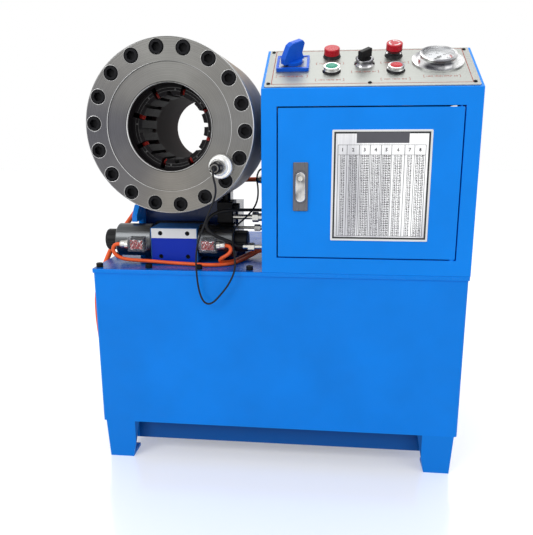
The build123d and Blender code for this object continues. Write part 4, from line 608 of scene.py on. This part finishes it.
def piece(name, bm, mat, body="machine", replaced=(), smooth=False):
    """A mesh piece from shapes drawn in millimetres."""
    mesh = bpy.data.meshes.new(name)
    bmesh.ops.recalc_face_normals(bm, faces=bm.faces)
    bmesh.ops.scale(bm, vec=(MM, MM, MM), verts=bm.verts)
    bm.to_mesh(mesh)
    bm.free()
    for polygon in mesh.polygons:
        polygon.use_smooth = smooth
    obj = place_mesh(name, mesh, mat, body)
    if replaced:
        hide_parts(*replaced)
    return obj


def slab(bm, frame_matrix, x0, x1, y0, y1, z0, z1, edge=0.0):
    """A thin block with its front edges broken."""
    rings = []
    for z, cut in ((z0, 0.0), (z1 - edge, 0.0), (z1, edge)):
        corners = ((x0 + cut, y0 + cut), (x1 - cut, y0 + cut), (x1 - cut, y1 - cut),
                   (x0 + cut, y1 - cut))
        rings.append([bm.verts.new(frame_matrix @ Vector((x, y, z))) for x, y in corners])
    cap(bm, rings[0][::-1])
    for a, b in zip(rings, rings[1:]):
        join(bm, a, b)
    cap(bm, rings[-1])


def border(bm, frame_matrix, x0, x1, y0, y1, line, height):
    """A flat frame of four strips."""
    for strip_edges in ((x0, x1, y1 - line, y1), (x0, x1, y0, y0 + line),
                        (x0, x0 + line, y0 + line, y1 - line),
                        (x1 - line, x1, y0 + line, y1 - line)):
        slab(bm, frame_matrix, *strip_edges, 0, height)


def lathe(bm, frame_matrix, profile, segments=48, ribs=0.0, ribbed=()):
    """A body turned about the frame's z from (radius, height) points, some of them ribbed."""
    rings = []
    for index, (radius, height) in enumerate(profile):
        valley = radius - ribs if index in ribbed else radius
        rings.append([bm.verts.new(frame_matrix @ polar(valley if k % 2 else radius, angle, height))
                      for k, angle in enumerate(turns(segments))])
    for a, b in zip(rings, rings[1:]):
        join(bm, a, b)
    return rings


def hexagon(bm, frame_matrix, flats, height, turn, reach=math.inf):
    """A ring on a hexagon's outline, its corners rounded off at a reach."""
    ring = []
    for angle in turns(48):
        off = (angle + turn) % (math.pi / 3) - math.pi / 6
        radius = min(flats / 2 / math.cos(off), reach)
        ring.append(bm.verts.new(frame_matrix @ polar(radius, angle, height)))
    return ring


def socket_head(bm, frame_matrix, radius, height, key, depth, turn=0.0):
    """A knurled cap-screw head with its hexagon socket."""
    rings = lathe(bm, frame_matrix, [(radius, 0), (radius, height - radius * 0.1),
                                     (radius * 0.92, height)], 48, radius * 0.025, (0, 1))
    rim = hexagon(bm, frame_matrix, key, height, turn)
    floor = hexagon(bm, frame_matrix, key, height - depth, turn)
    join(bm, rings[-1], rim)
    join(bm, rim, floor)
    cap(bm, floor)
    cap(bm, rings[0][::-1])


def tube(bm, points, radius, sides=8):
    """A round wire through points, its ends closed."""
    rings = []
    for index, point in enumerate(points):
        before, after = points[max(0, index - 1)], points[min(len(points) - 1, index + 1)]
        tangent = (after - before).normalized()
        side = tangent.orthogonal() if not rings else tangent.cross(last.cross(tangent))
        side.normalize()
        last = side
        other = tangent.cross(side)
        rings.append([bm.verts.new(point + radius * (math.cos(a) * side + math.sin(a) * other))
                      for a in turns(sides)])
    for a, b in zip(rings, rings[1:]):
        join(bm, a, b)
    cap(bm, rings[0][::-1])
    cap(bm, rings[-1])


def cut_plate(name, frame_matrix, outline, holes, thick, mat, body):
    """A flat plate with round holes."""
    curve = bpy.data.curves.new(name, "CURVE")
    curve.dimensions = "2D"
    curve.fill_mode = "BOTH"
    curve.extrude = thick / 2 * MM
    rounds = [[(x + r * math.cos(a), y + r * math.sin(a)) for a in turns(32)]
              for x, y, r in holes]
    for loop in [outline] + rounds:
        spline = curve.splines.new("POLY")
        spline.points.add(len(loop) - 1)
        for point, (x, y) in zip(spline.points, loop):
            point.co = (x * MM, y * MM, 0, 1)
        spline.use_cyclic_u = True
    mesh = curve_mesh(curve)
    mesh.transform(in_metres(frame_matrix) @ Matrix.Translation((0, 0, thick / 2 * MM)))
    mesh.materials.clear()
    place_mesh(name, mesh, mat, body)


FIGURE_THICKNESS = 0.06
FIGURE_WEIGHT = 0.035


def figures(name, frame_matrix, entries, mat, body):
    """Short numbers, each with its place and size, as flat raised figures."""
    bm = bmesh.new()
    for text, x, y, size in entries:
        curve = bpy.data.curves.new("figure", "FONT")
        curve.body = text
        curve.size = size * MM
        curve.align_x = "CENTER"
        curve.align_y = "CENTER"
        curve.resolution_u = 1
        curve.extrude = FIGURE_THICKNESS / 2 * MM
        curve.offset = size * FIGURE_WEIGHT * MM
        mesh = curve_mesh(curve)
        mesh.transform(in_metres(frame_matrix) @ Matrix.Translation((x * MM, y * MM, 0.04 * MM)))
        mesh.transform(Matrix.Scale(1 / MM, 4))
        bm.from_mesh(mesh)
        bpy.data.meshes.remove(mesh)
    piece(name, bm, mat, body)


# Crimping head

BOLT_CIRCLE = 136.0
BOLT_COUNT = 18
BOLT_FIRST = 97.0
SEAT_DEPTH = 14.5
HEAD_DEPTH = 238.0
DIE_COUNT = 8
DIE_CLOCK = 4.5
DIE_FRONT = 30.3
SPRING_RING = 66.0
SPRING_DEPTH = 51.3
SPRING_RADIUS = 5.6
SPRING_HALF = 3.3
SPRING_COILS = 3.5
ADJUSTER = (94.6, -66.9)
# Cap screws: head's radius and height, socket's width and depth
FLANGE_SCREW = (12.0, 16.0, 14.0, 9.0)
LID_SCREW = (6.5, 8.0, 6.0, 4.0)
VALVE_SCREW = (4.3, 5.5, 4.0, 3.0)


def bolt_places():
    """Places of the flange's screws round the head's axis."""
    return [polar(BOLT_CIRCLE, math.radians(BOLT_FIRST + index * 360 / BOLT_COUNT))
            for index in range(BOLT_COUNT)]


def add_flange_screws():
    """Knurled socket screws round the front and the rear flange."""
    bm = bmesh.new()
    back = Matrix.Rotation(math.pi, 4, "X")
    for index, (x, y, _) in enumerate(bolt_places()):
        for place in (at(x, y, -SEAT_DEPTH), at(x, y, -HEAD_DEPTH + SEAT_DEPTH) @ back):
            socket_head(bm, HEAD_FRAME @ place, *FLANGE_SCREW, math.radians(17 * index))
    piece("flange_screws", bm, "black_steel", replaced=["flange_bolts"])


def add_return_spring(number, gap):
    """Coiled spring across the gap after a die, riding on that die; the real spring is squashed as
    the piston closes the dies.
    """
    across = Vector((-math.sin(gap), math.cos(gap), 0))
    outward = polar(1, gap)
    centre = polar(SPRING_RING, gap, -SPRING_DEPTH)
    points = []
    for angle in arc(0, 2 * math.pi * SPRING_COILS, 60):
        along = SPRING_HALF * (angle / (math.pi * SPRING_COILS) - 1)
        points.append(HEAD_FRAME @ (centre + across * along + SPRING_RADIUS * (
            math.cos(angle) * outward + math.sin(angle) * Vector((0, 0, 1)))))
    bm = bmesh.new()
    tube(bm, points, 0.8)
    spring = piece(f"spring_{number}", bm, "red_spring", f"die_{number}",
                   smooth=True)
    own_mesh(spring)


def add_die_marks(number, middle, half):
    """Two scribed arcs and a dowel pin on a die's face."""
    bm = bmesh.new()
    reach = half * 0.84
    for radius, width in ((64.4, 0.5), (69.6, 0.7)):
        section = [(radius, -DIE_FRONT), (radius, -DIE_FRONT + 0.12),
                   (radius + width, -DIE_FRONT + 0.12), (radius + width, -DIE_FRONT)]
        rows = strip(bm, HEAD_FRAME, section, arc(middle - reach, middle + reach, 12))
        cap(bm, rows[0])
        cap(bm, rows[-1])
    piece(f"die_scribe_{number}", bm, "scribe_grey", f"die_{number}")
    bm = bmesh.new()
    x, y, z = polar(66.8, middle - half * 0.45, -DIE_FRONT)
    rings = lathe(bm, HEAD_FRAME @ at(x, y, z), [(1.7, 0), (1.7, 0.5), (1.3, 0.8), (0.5, 0.5)], 16)
    cap(bm, rings[-1])
    piece(f"die_pin_{number}", bm, "scribe_grey", f"die_{number}")


def add_die_detail():
    """Springs and marks of all the dies."""
    half = math.pi / DIE_COUNT
    for index in range(DIE_COUNT):
        middle = math.radians(DIE_CLOCK + index * 360 / DIE_COUNT)
        add_return_spring(index + 1, middle + half)
        add_die_marks(index + 1, middle, half)


def add_head_rims():
    """Bright broken edges of the face's step, bore and counterbores, with painted highlights; the
    bore's wall darkened with painted shade.
    """
    bm = bmesh.new()
    lathe(bm, HEAD_FRAME, [(111.3, -2.5), (111.4, -0.4), (111.7, 0.1), (112.2, 0.1),
                           (112.4, -0.02)], 160)
    lathe(bm, HEAD_FRAME, [(75.72, -4.6), (76.3, -3.5), (77.2, -2.38), (77.6, -2.44)], 128)
    lathe(bm, HEAD_FRAME, [(150.3, 0.02), (151.0, -0.2), (151.75, -1.2), (151.8, -2.0)], 160)
    for place in bolt_places():
        lathe(bm, HEAD_FRAME @ at(*place), [(12.95, -1.2), (13.0, 0.06), (13.4, 0.1),
                                            (13.8, -0.02)])
    piece("head_rims", bm, "rim_steel", "machine", smooth=True)
    bm = bmesh.new()
    # Painted shade: a black lining inside the bore, where its wall lies in shadow
    lathe(bm, HEAD_FRAME, [(75.72, -5.7), (75.55, -6.2), (75.55, -29.6), (75.8, -29.9)], 128)
    piece("bore_shade_lining", bm, "die_steel", smooth=True)


def add_sensor_gland():
    """Black hexagon gland on the adjuster's outer end."""
    bm = bmesh.new()
    place = HEAD_FRAME @ at(*ADJUSTER)
    loops = [hexagon(bm, place, flats, z, math.pi / 6, flats / 2 * 1.12)
             for z, flats in ((56.8, 18.6), (57.6, 19.5), (66.6, 19.5), (67.5, 18.0))]
    dome = lathe(bm, place, [(7.6, 67.5), (7.6, 71.5), (6.8, 73.6), (4.6, 74.9), (1.8, 75.1)])
    for a, b in zip(loops, loops[1:] + dome[:1]):
        join(bm, a, b)
    cap(bm, loops[0][::-1])
    cap(bm, dome[-1])
    piece("sensor_gland", bm, "black_plastic")


def add_thimble():
    """Turned knob with a knurled rim and a stepped nose."""
    bm = bmesh.new()
    rings = lathe(bm, HEAD_FRAME @ at(*ADJUSTER), [
        (8.1, 4.4), (19.8, 4.4), (21.0, 5.6), (21.0, 22.6), (19.6, 24.2), (16.2, 24.6),
        (15.0, 25.4), (15.0, 36.6), (13.8, 38.1), (8.1, 38.1)], 96, 0.45, (2, 3))
    join(bm, rings[-1], rings[0])
    piece("stop_knob", bm, "white_aluminium", "thimble", replaced=["stop_thimble"])


# Lid and valve

LID_BOLT_SPAN = (680.0, 426.0)
LID_BOLT_COLUMNS = 8
LID_BOLT_ROWS = 5
BOX_DEPTH = 340.0


def lid_bolt_places():
    """The lid's screws along its edges, apart from those that the box covers."""
    places = []
    for column in range(LID_BOLT_COLUMNS):
        x = LID_LEFT_X + 10.0 + column * LID_BOLT_SPAN[0] / (LID_BOLT_COLUMNS - 1)
        for row in range(LID_BOLT_ROWS):
            y = LID_FRONT_Y + 17.0 + row * LID_BOLT_SPAN[1] / (LID_BOLT_ROWS - 1)
            on_edge = column in (0, LID_BOLT_COLUMNS - 1) or row in (0, LID_BOLT_ROWS - 1)
            if on_edge and not (x > BOX_LEFT_X - 10 and y < LID_FRONT_Y + BOX_DEPTH):
                places.append((x, y))
    return places


def add_lid_screws():
    """Socket screws along the lid's edges."""
    bm = bmesh.new()
    for index, (x, y) in enumerate(lid_bolt_places()):
        socket_head(bm, at(x, y, LID_TOP_Z), *LID_SCREW, 0.4 * index)
    piece("lid_screws", bm, "black_steel", replaced=["lid_bolts"])


VALVE_LEFT_X = -250.0
VALVE_WIDTH = 93.0
VALVE_BOTTOM = 3.0
VALVE_TOP = 71.0
VALVE_STRIP = 19.0
VALVE_EDGE = 1.5
VALVE_FACE = -60.0
VALVE_SCREW_X = 27.0
VALVE_SCREW_Z = 23.0
PLUG_REACH = 24.0
PLUG_HALF = 17.0
PLUG_ROW = 40.0
PLUG_DEPTH = -47.0
PLUG_PLACES = ((VALVE_LEFT_X - PLUG_REACH, -1), (VALVE_LEFT_X + VALVE_WIDTH + PLUG_REACH, 1))
PLUG_BLOCKS = ((-9, -6, 7, 9), (0, 3, 9, 6), (8, -4, 6, 11), (-6, 6, 8, 4), (6, 7, 7, 4))


def add_valve_plates():
    """White strip and blue label plate on the valve, both left plain, and its four screws."""
    face = FRONT_FRAME @ at(0, 0, VALVE_FACE)
    left, right = VALVE_LEFT_X + VALVE_EDGE, VALVE_LEFT_X + VALVE_WIDTH - VALVE_EDGE
    low, high = VALVE_BOTTOM + VALVE_EDGE, VALVE_TOP - VALVE_EDGE
    split = high - VALVE_STRIP
    middle_z = (VALVE_BOTTOM + VALVE_TOP) / 2
    columns = [VALVE_LEFT_X + VALVE_WIDTH / 2 + side * VALVE_SCREW_X for side in (-1, 1)]
    rows = [middle_z - VALVE_SCREW_Z, middle_z + VALVE_SCREW_Z]
    for name, bottom, top, row, mat, finish in (
            ("valve_strip", split, high, rows[1], "table_white", "white_aluminium"),
            ("valve_label", low, split, rows[0], "blue_label", "valve_blue")):
        outline = [(left, bottom), (right, bottom), (right, top), (left, top)]
        cut_plate(name, face, outline, [(x, row, 4.5) for x in columns], 0.35, mat, "machine")
    bm = bmesh.new()
    for x in columns:
        for z in rows:
            socket_head(bm, face @ at(x, z, -8.0), *VALVE_SCREW)
    piece("valve_screws", bm, "black_steel")


def plug_wire(bm, place, half, swing, waves, shift, height, radius):
    """One wavy wire across a connector plug."""
    steps = [i / 14 for i in range(15)]
    tube(bm, [place @ Vector((half * (2 * t - 1), swing * math.sin(waves * t + shift), height))
              for t in steps], radius, 6)


def add_plug_works():
    """What the clear connector plugs show inside, their dark backs and their glands."""
    works, wires, backs, glands = (bmesh.new() for _ in range(4))
    for middle, side in PLUG_PLACES:
        place = FRONT_FRAME @ at(middle, PLUG_ROW, VALVE_FACE)
        for k, (x, z, w, h) in enumerate(PLUG_BLOCKS):
            slab(works, place, x - w / 2, x + w / 2, z - h / 2, z + h / 2, 7.0 + k, 16.0 + k, 0.8)
        for k in range(4):
            plug_wire(works, place, 13, 9, 5, 1.7 * k, 15 + k, 0.7)
        for k in range(5):
            plug_wire(wires, place, 12, 8, 7, 1.3 * k + math.pi / 2, 17.5 + 0.4 * k, 0.75)
        slab(backs, place, -14.5, 14.5, -11.5, 11.5, 4.5, 6.8, 0.5)
        turn = Matrix.Rotation(side * math.pi / 2, 4, "Y")
        end = FRONT_FRAME @ at(middle + side * PLUG_HALF, PLUG_ROW, PLUG_DEPTH) @ turn
        rings = lathe(glands, end, [(7.4, 0), (8.0, 0.6), (8.0, 6.4), (7.4, 7.0), (7.2, 7.0),
                                    (7.2, 13.0), (6.2, 16.0), (3.6, 16.2)], 24, 0.35, (1, 2))
        cap(glands, rings[0][::-1])
        cap(glands, rings[-1])
    piece("plug_works", works, "plug_works", "machine")
    piece("plug_wires", wires, "red_spring", "machine", smooth=True)
    piece("plug_backs", backs, "black_plastic")
    piece("plug_glands", glands, "zinc_steel")


# Door

TABLE_LEFT = 100.1
TABLE_WIDTH = 170.0
TABLE_BOTTOM = 62.3
TABLE_HEIGHT = 193.0
TABLE_COLUMNS = (10.5, 26.0, 47.0, 65.5, 84.6, 102.0, 124.0, 140.5, 159.5)
TABLE_ROWS = 34
TABLE_EDGE = 3.4
TABLE_INSET = 0.4


def add_data_table():
    """The plate's white edge, ruled lines, plain title field and generic figures."""
    face = FRONT_FRAME @ at(TABLE_LEFT, TABLE_BOTTOM, 1.5)
    w, h, edge, inset = TABLE_WIDTH, TABLE_HEIGHT, TABLE_EDGE, TABLE_INSET
    bm = bmesh.new()
    border(bm, face, inset, w - inset, inset, h - inset, edge - inset, 0.14)
    piece("table_edge", bm, "table_white", "door")
    bm = bmesh.new()
    border(bm, face, edge, w - edge, edge, h - edge, 3.2, 0.10)
    top, head, foot = h - 25.6, h - 42.5, 8.8
    pitch = (head - foot) / TABLE_ROWS
    for x in TABLE_COLUMNS:
        slab(bm, face, x - 0.4, x + 0.4, foot, top, 0, 0.08)
    for z, height in ((top, 0.08), (head, 0.08), (foot, 0.07)):
        slab(bm, face, TABLE_COLUMNS[0], TABLE_COLUMNS[-1], z - 0.3, z + 0.3, 0, height)
    piece("table_lines", bm, "table_black", "door")
    bm = bmesh.new()
    slab(bm, face, 42.0, 131.0, h - 22.5, h - 4.6, 0, 0.16, 0.05)
    piece("table_title", bm, "table_grey", "door")
    entries = []
    for column, (left, right) in enumerate(zip(TABLE_COLUMNS, TABLE_COLUMNS[1:])):
        width = right - left
        x = left + width / 2
        entries.append((str(column + 1), x, (top + head) / 2, 8.0))
        for row in range(TABLE_ROWS):
            number = (column * 37 + row * 13 + row * row * 3) % 90 + 10
            text = f"{number / 10 + 10:.1f}" if width < 17 else f"{number / 10 + 12:.1f}-{number}"
            entries.append((text, x, head - (row + 0.5) * pitch, 4.9))
    figures("table_figures", face, entries, "table_black", "door")


LATCH_X = 46.1
LATCH_ROW = 157.2
LATCH_HALF = 18.6
LATCH_END_RADIUS = 10.6
KEY_ROW = 172.0


def add_latch_detail():
    """Recess line round the turning handle and the key barrel in it."""
    face = FRONT_FRAME @ at(LATCH_X, LATCH_ROW, 3.0)
    bm = bmesh.new()
    points = []
    for angle in arc(0, 2 * math.pi, 48):
        end = LATCH_HALF if math.sin(angle) >= 0 else -LATCH_HALF
        points.append(face @ (polar(LATCH_END_RADIUS, angle) + Vector((0, end, 0))))
    tube(bm, points, 0.24, 6)
    piece("latch_groove", bm, "table_black", "door", smooth=True)
    bm = bmesh.new()
    key = FRONT_FRAME @ at(LATCH_X, KEY_ROW, 9.8)
    rings = lathe(bm, key, [(4.2, 0), (4.2, 0.5), (3.7, 0.9), (3.0, 0.9), (2.8, 0.4)], 32)
    cap(bm, rings[-1])
    slab(bm, key, -0.5, 0.5, -2.4, 2.4, 0.4, 0.75)
    piece("latch_key", bm, "zinc_steel", "latch")


# Operator panel: places across it and up its slope

PANEL_THICKNESS = 2.0
PANEL_BORDER = (16.0, 357.0, 12.0, 147.5)
GREEN_BUTTON = (120.2, 61.0)
RED_BUTTON = (232.0, 61.0)
PILOT_LAMP = (120.2, 121.0)
STOP_BUTTON = (232.0, 121.0)
SELECTOR = (178.5, 89.0)
SWITCH = (50.6, 88.5)
GAUGE = (307.6, 95.4)
STOP_CAP_TOP = 25.8
FLUSH_CAP_TOP = 12.6
SWITCH_SIZE = (58.5, 54.0)
SWITCH_FRAME = 4.4
PANEL_SCREWS = ((11.5, 14.5), (11.5, 143.0), (185.5, 14.5), (359.5, 14.5), (359.5, 143.0))
PANEL_LABELS = ((50.5, 42.0, 56.0, 9.0), (117.0, 92.0, 50.0, 8.0), (117.0, 27.0, 50.0, 9.0),
                (178.5, 57.0, 48.0, 8.0), (232.0, 92.0, 50.0, 8.0), (229.0, 27.0, 50.0, 9.0),
                (307.6, 36.0, 62.0, 9.0))


def label_strokes(bm, face, x, y, w, h):
    """A pair of brackets with short strokes that say nothing between them."""
    low, high, thin = y - h / 2, y + h / 2, 0.9
    for side in (-1, 1):
        end = x + side * w / 2
        for inward, y0, y1, height in ((thin, low, high, 0.12), (2.4, low, low + thin, 0.11),
                                       (2.4, high - thin, high, 0.11)):
            inner = end - side * inward
            slab(bm, face, min(end, inner), max(end, inner), y0, y1, 0, height)
    pitch = 2.3
    strokes = int((w - 9) / pitch)
    for k in range(strokes):
        if k % 7 == 5:
            continue
        left = x - (strokes - 1) * pitch / 2 + pitch * k - 0.45
        tall = h * (0.30 if k % 3 else 0.22)
        slab(bm, face, left, left + 0.9, y - tall, y + tall, 0, 0.11)
        if k % 2:
            slab(bm, face, left, left + 1.95, y - 0.4, y + 0.4, 0, 0.10)


def add_panel_detail():
    """Red border line and label strokes, and the panel's cross-slotted screws."""
    face = PANEL_FRAME @ at(0, 0, PANEL_THICKNESS)
    bm = bmesh.new()
    border(bm, face, *PANEL_BORDER, 1.5, 0.12)
    for label in PANEL_LABELS:
        label_strokes(bm, face, *label)
    piece("panel_lines", bm, "panel_red", "machine")
    bm = bmesh.new()
    for index, (x, y) in enumerate(PANEL_SCREWS):
        place = face @ at(x, y) @ Matrix.Rotation(0.5 + index, 4, "Z")
        rings = lathe(bm, place, [(3.6, 0), (3.5, 0.7), (2.6, 1.5), (1.4, 1.9)], 24)
        cap(bm, rings[-1])
        slab(bm, place, -2.3, 2.3, -0.35, 0.35, 1.3, 1.95)
        slab(bm, place, -0.35, 0.35, -2.3, 2.3, 1.3, 1.94)
    piece("panel_screws", bm, "black_steel")


DIAL_Z = 8.0
NEEDLE_REST = 225.0
NEEDLE_SWEEP = 270.0


def dial_angle(share):
    """The dial's angle at a share of the needle's sweep."""
    return math.radians(NEEDLE_REST - NEEDLE_SWEEP * share)


def add_dial():
    """White dial with a scale from 0 to 60 and a red band at its upper end."""
    face = PANEL_FRAME @ at(*GAUGE, DIAL_Z)
    disc = [(27.9 * math.cos(a), 27.9 * math.sin(a)) for a in turns(64)]
    cut_plate("dial_face", face, disc, [(0, 0, 2.7)], 0.12, "dial_white", "machine")
    top = face @ at(0, 0, 0.12)
    bm = bmesh.new()
    for mark in range(31):
        start, half = (21.5, 0.45) if mark % 5 == 0 else (23.6, 0.2)
        turn = top @ Matrix.Rotation(dial_angle(mark / 30), 4, "Z")
        slab(bm, turn, start, 25.6, -half, half, 0, 0.08)
    strip(bm, top, [(25.6, 0.08), (26.1, 0.08)], arc(dial_angle(0), dial_angle(1), 60))
    piece("dial_scale", bm, "table_black", "machine")
    bm = bmesh.new()
    strip(bm, top, [(22.2, 0.05), (25.4, 0.05)], arc(dial_angle(44 / 60), dial_angle(1), 16))
    piece("dial_band", bm, "dial_red", "machine")
    entries = []
    for mark in range(7):
        x, y, _ = polar(17.6, dial_angle(mark / 6))
        entries.append((str(mark * 10), x, y, 5.6))
    figures("dial_figures", top, entries, "table_black", "machine")


def add_button_detail():
    """Turning arrows on the stop button's cap and a dished insert in each flush button."""
    bm = bmesh.new()
    place = PANEL_FRAME @ at(*STOP_BUTTON, STOP_CAP_TOP)
    for start in (0.4, 2.5, 4.6):
        tip = start + 1.25
        strip(bm, place, [(8.2, 0), (8.4, 0.12), (10.2, 0.12), (10.4, 0)], arc(start, tip, 8))
        cap(bm, [bm.verts.new(place @ polar(r, angle, 0.12))
                 for r, angle in ((6.9, tip), (9.3, tip + 0.32), (11.7, tip))])
    piece("stop_arrows", bm, "table_white", "stop_push")
    for name, button, mat in (("green", GREEN_BUTTON, "green_plastic"),
                              ("red", RED_BUTTON, "red_plastic")):
        bm = bmesh.new()
        rings = lathe(bm, PANEL_FRAME @ at(*button, FLUSH_CAP_TOP),
                      [(9.2, 0), (8.8, 0.35), (8.0, 0.35), (7.4, 0.05), (2.0, 0.02)])
        cap(bm, rings[-1])
        piece(f"{name}_insert", bm, mat, f"{name}_push", smooth=True)


def add_button_skirts():
    """Black mounting rings, the stop button's dark stem and the selector's bright collar."""
    bm = bmesh.new()
    for button, top in ((GREEN_BUTTON, 6.3), (RED_BUTTON, 6.3), (PILOT_LAMP, 7.6),
                        (STOP_BUTTON, 7.6)):
        lathe(bm, PANEL_FRAME @ at(*button), [(16.4, 2.0), (16.2, 2.8), (15.0, 3.2),
                                              (14.95, top - 0.4), (14.5, top),
                                              (13.9, top + 0.05)])
    piece("button_skirts", bm, "black_plastic", smooth=True)
    bm = bmesh.new()
    lathe(bm, PANEL_FRAME @ at(*STOP_BUTTON), [(10.75, 7.0), (10.75, 12.66), (14.3, 12.75),
                                               (14.7, 13.4), (14.72, 15.0)])
    piece("stop_stem", bm, "black_plastic", "stop_push", smooth=True)
    bm = bmesh.new()
    lathe(bm, PANEL_FRAME @ at(*SELECTOR), [(18.5, 2.0), (18.2, 3.4), (15.4, 5.2), (15.0, 9.0),
                                            (16.6, 11.6), (16.4, 12.4), (11.2, 12.3)])
    piece("selector_collar", bm, "bright_chrome", smooth=True)


def add_switch_inset():
    """Grey metal centre in the main switch's blue frame, round the handle's hub."""
    x, y = (side / 2 - SWITCH_FRAME for side in SWITCH_SIZE)
    cut_plate("switch_inset", PANEL_FRAME @ at(*SWITCH, 6.5), [(-x, -y), (x, -y), (x, y), (-x, y)],
              [(0, 0, 17.6)], 0.3, "inset_grey", "machine")


# Power cord's ties

def add_coil_ties():
    """Two flat bands round the put-away turns."""
    bm = bmesh.new()
    centre = over_lid(*COIL_CENTRE, -LID_TOP_Z) / MM
    for degrees in (20, 200):
        turn = Matrix.Translation(centre) @ Matrix.Rotation(math.radians(degrees), 4, "Z")
        rows = []
        for y in (-5.0, 5.0):
            for grow in (0.0, 1.0):
                loop = []
                for angle in turns(24):
                    c, s = math.cos(angle), math.sin(angle)
                    reach = (10.7 + grow) / max(abs(c), abs(s)) * (1 - 0.16 * (2 * c * s) ** 2)
                    z = max(0.05, 10.5 + reach * s)
                    loop.append(bm.verts.new(turn @ Vector((COIL_RADIUS + reach * c, y, z))))
                rows.append(loop)
        inner0, outer0, inner1, outer1 = rows
        for first, second in ((inner0, outer0), (outer0, outer1), (outer1, inner1),
                              (inner1, inner0)):
            join(bm, first, second)
    piece("coil_ties", bm, "black_plastic")


# Stage

def seen_white(owner, kind, strength):
    """How much camera, gloss or glass sees of a spot, and the plain white that they see."""
    path = node(owner, "ShaderNodeLightPath")
    seen = path.outputs["Is Camera Ray"]
    for other in ("Is Glossy Ray", "Is Transmission Ray"):
        both = node(owner, "ShaderNodeMath", operation="MAXIMUM")
        link(owner, seen, both.inputs[0])
        link(owner, path.outputs[other], both.inputs[1])
        seen = both.outputs["Value"]
    white = fill(node(owner, kind), {"Color": (1, 1, 1, 1), "Strength": strength})
    return seen, white.outputs[0]


def mixed(owner, first, second, share=0.5):
    """A mix of two shaders' outputs: its node, so that its share can be linked."""
    mix = fill(node(owner, "ShaderNodeMixShader"), {"Fac": share})
    link(owner, first, mix.inputs[1])
    link(owner, second, mix.inputs[2])
    return mix


FLOOR_REACH = 9
LIGHTS = (
    ("key", (-1.6, -2.2, 2.2), (0, 0, 0.5), 1.4, 34),
    ("fill", (2.2, -1.8, 1.4), (0, 0, 0.45), 1.8, 12),
    ("top", (0.2, 0.3, 2.6), (0, 0, 0.4), 1.6, 16),
)


def floor_material():
    """Pale floor that keeps its shadow, with a faint gloss."""
    mat = material("floor_pale", (0.92, 0.93, 0.94), 0.5)
    seen, white = seen_white(mat, "ShaderNodeEmission", 0.46)
    total = node(mat, "ShaderNodeAddShader")
    link(mat, mat.node_tree.nodes["Principled BSDF"].outputs[0], total.inputs[0])
    link(mat, white, total.inputs[1])
    mirror = fill(node(mat, "ShaderNodeBsdfGlossy"), {"Roughness": 0.16})
    polish = mixed(mat, total.outputs[0], mirror.outputs[0], 0.30)
    unseen = fill(node(mat, "ShaderNodeBsdfDiffuse"), {"Color": (0.5, 0.5, 0.5, 1)})
    mix = mixed(mat, unseen.outputs[0], polish.outputs[0])
    link(mat, seen, mix.inputs["Fac"])
    link(mat, mix.outputs[0], mat.node_tree.nodes["Material Output"].inputs["Surface"])
    return mat


def add_floor():
    """Plain pale floor under the machine."""
    mesh = bpy.data.meshes.new("floor")
    r = FLOOR_REACH
    mesh.from_pydata([(-r, -r, 0), (r, -r, 0), (r, r, 0), (-r, r, 0)], [], [(0, 1, 2, 3)])
    mesh.materials.append(floor_material())
    floor = bpy.data.objects.new("floor", mesh)
    bpy.context.scene.collection.objects.link(floor)


def add_world():
    """Even studio light behind a white background."""
    world = bpy.data.worlds.new("studio")
    bpy.context.scene.world = world
    world.use_nodes = True
    light = fill(world.node_tree.nodes["Background"], {
        "Color": (0.97, 0.98, 1.0, 1), "Strength": 0.70})
    seen, white = seen_white(world, "ShaderNodeBackground", 1.0)
    mix = mixed(world, light.outputs[0], white)
    link(world, seen, mix.inputs["Fac"])
    link(world, mix.outputs[0], world.node_tree.nodes["World Output"].inputs["Surface"])


def add_lights():
    """Three soft lamps, each aimed at a target."""
    for name, place, target, size, power in LIGHTS:
        light = bpy.data.lights.new(name, "AREA")
        light.size = size
        light.energy = power
        lamp = bpy.data.objects.new(name, light)
        lamp.location = place
        aim = Vector(target) - Vector(place)
        lamp.rotation_euler = aim.to_track_quat("-Z", "Y").to_euler()
        bpy.context.scene.collection.objects.link(lamp)


add_camera()
paint_nodes()
add_coil_ties()
add_cords()
add_flange_screws()
add_die_detail()
add_head_rims()
add_thimble()
add_sensor_gland()
add_lid_screws()
add_valve_plates()
add_plug_works()
add_data_table()
add_latch_detail()
add_panel_detail()
add_dial()
add_button_detail()
add_button_skirts()
add_switch_inset()
add_floor()
add_world()
add_lights()
bpy.context.scene.view_settings.view_transform = "Standard"
bpy.context.view_layer.update()
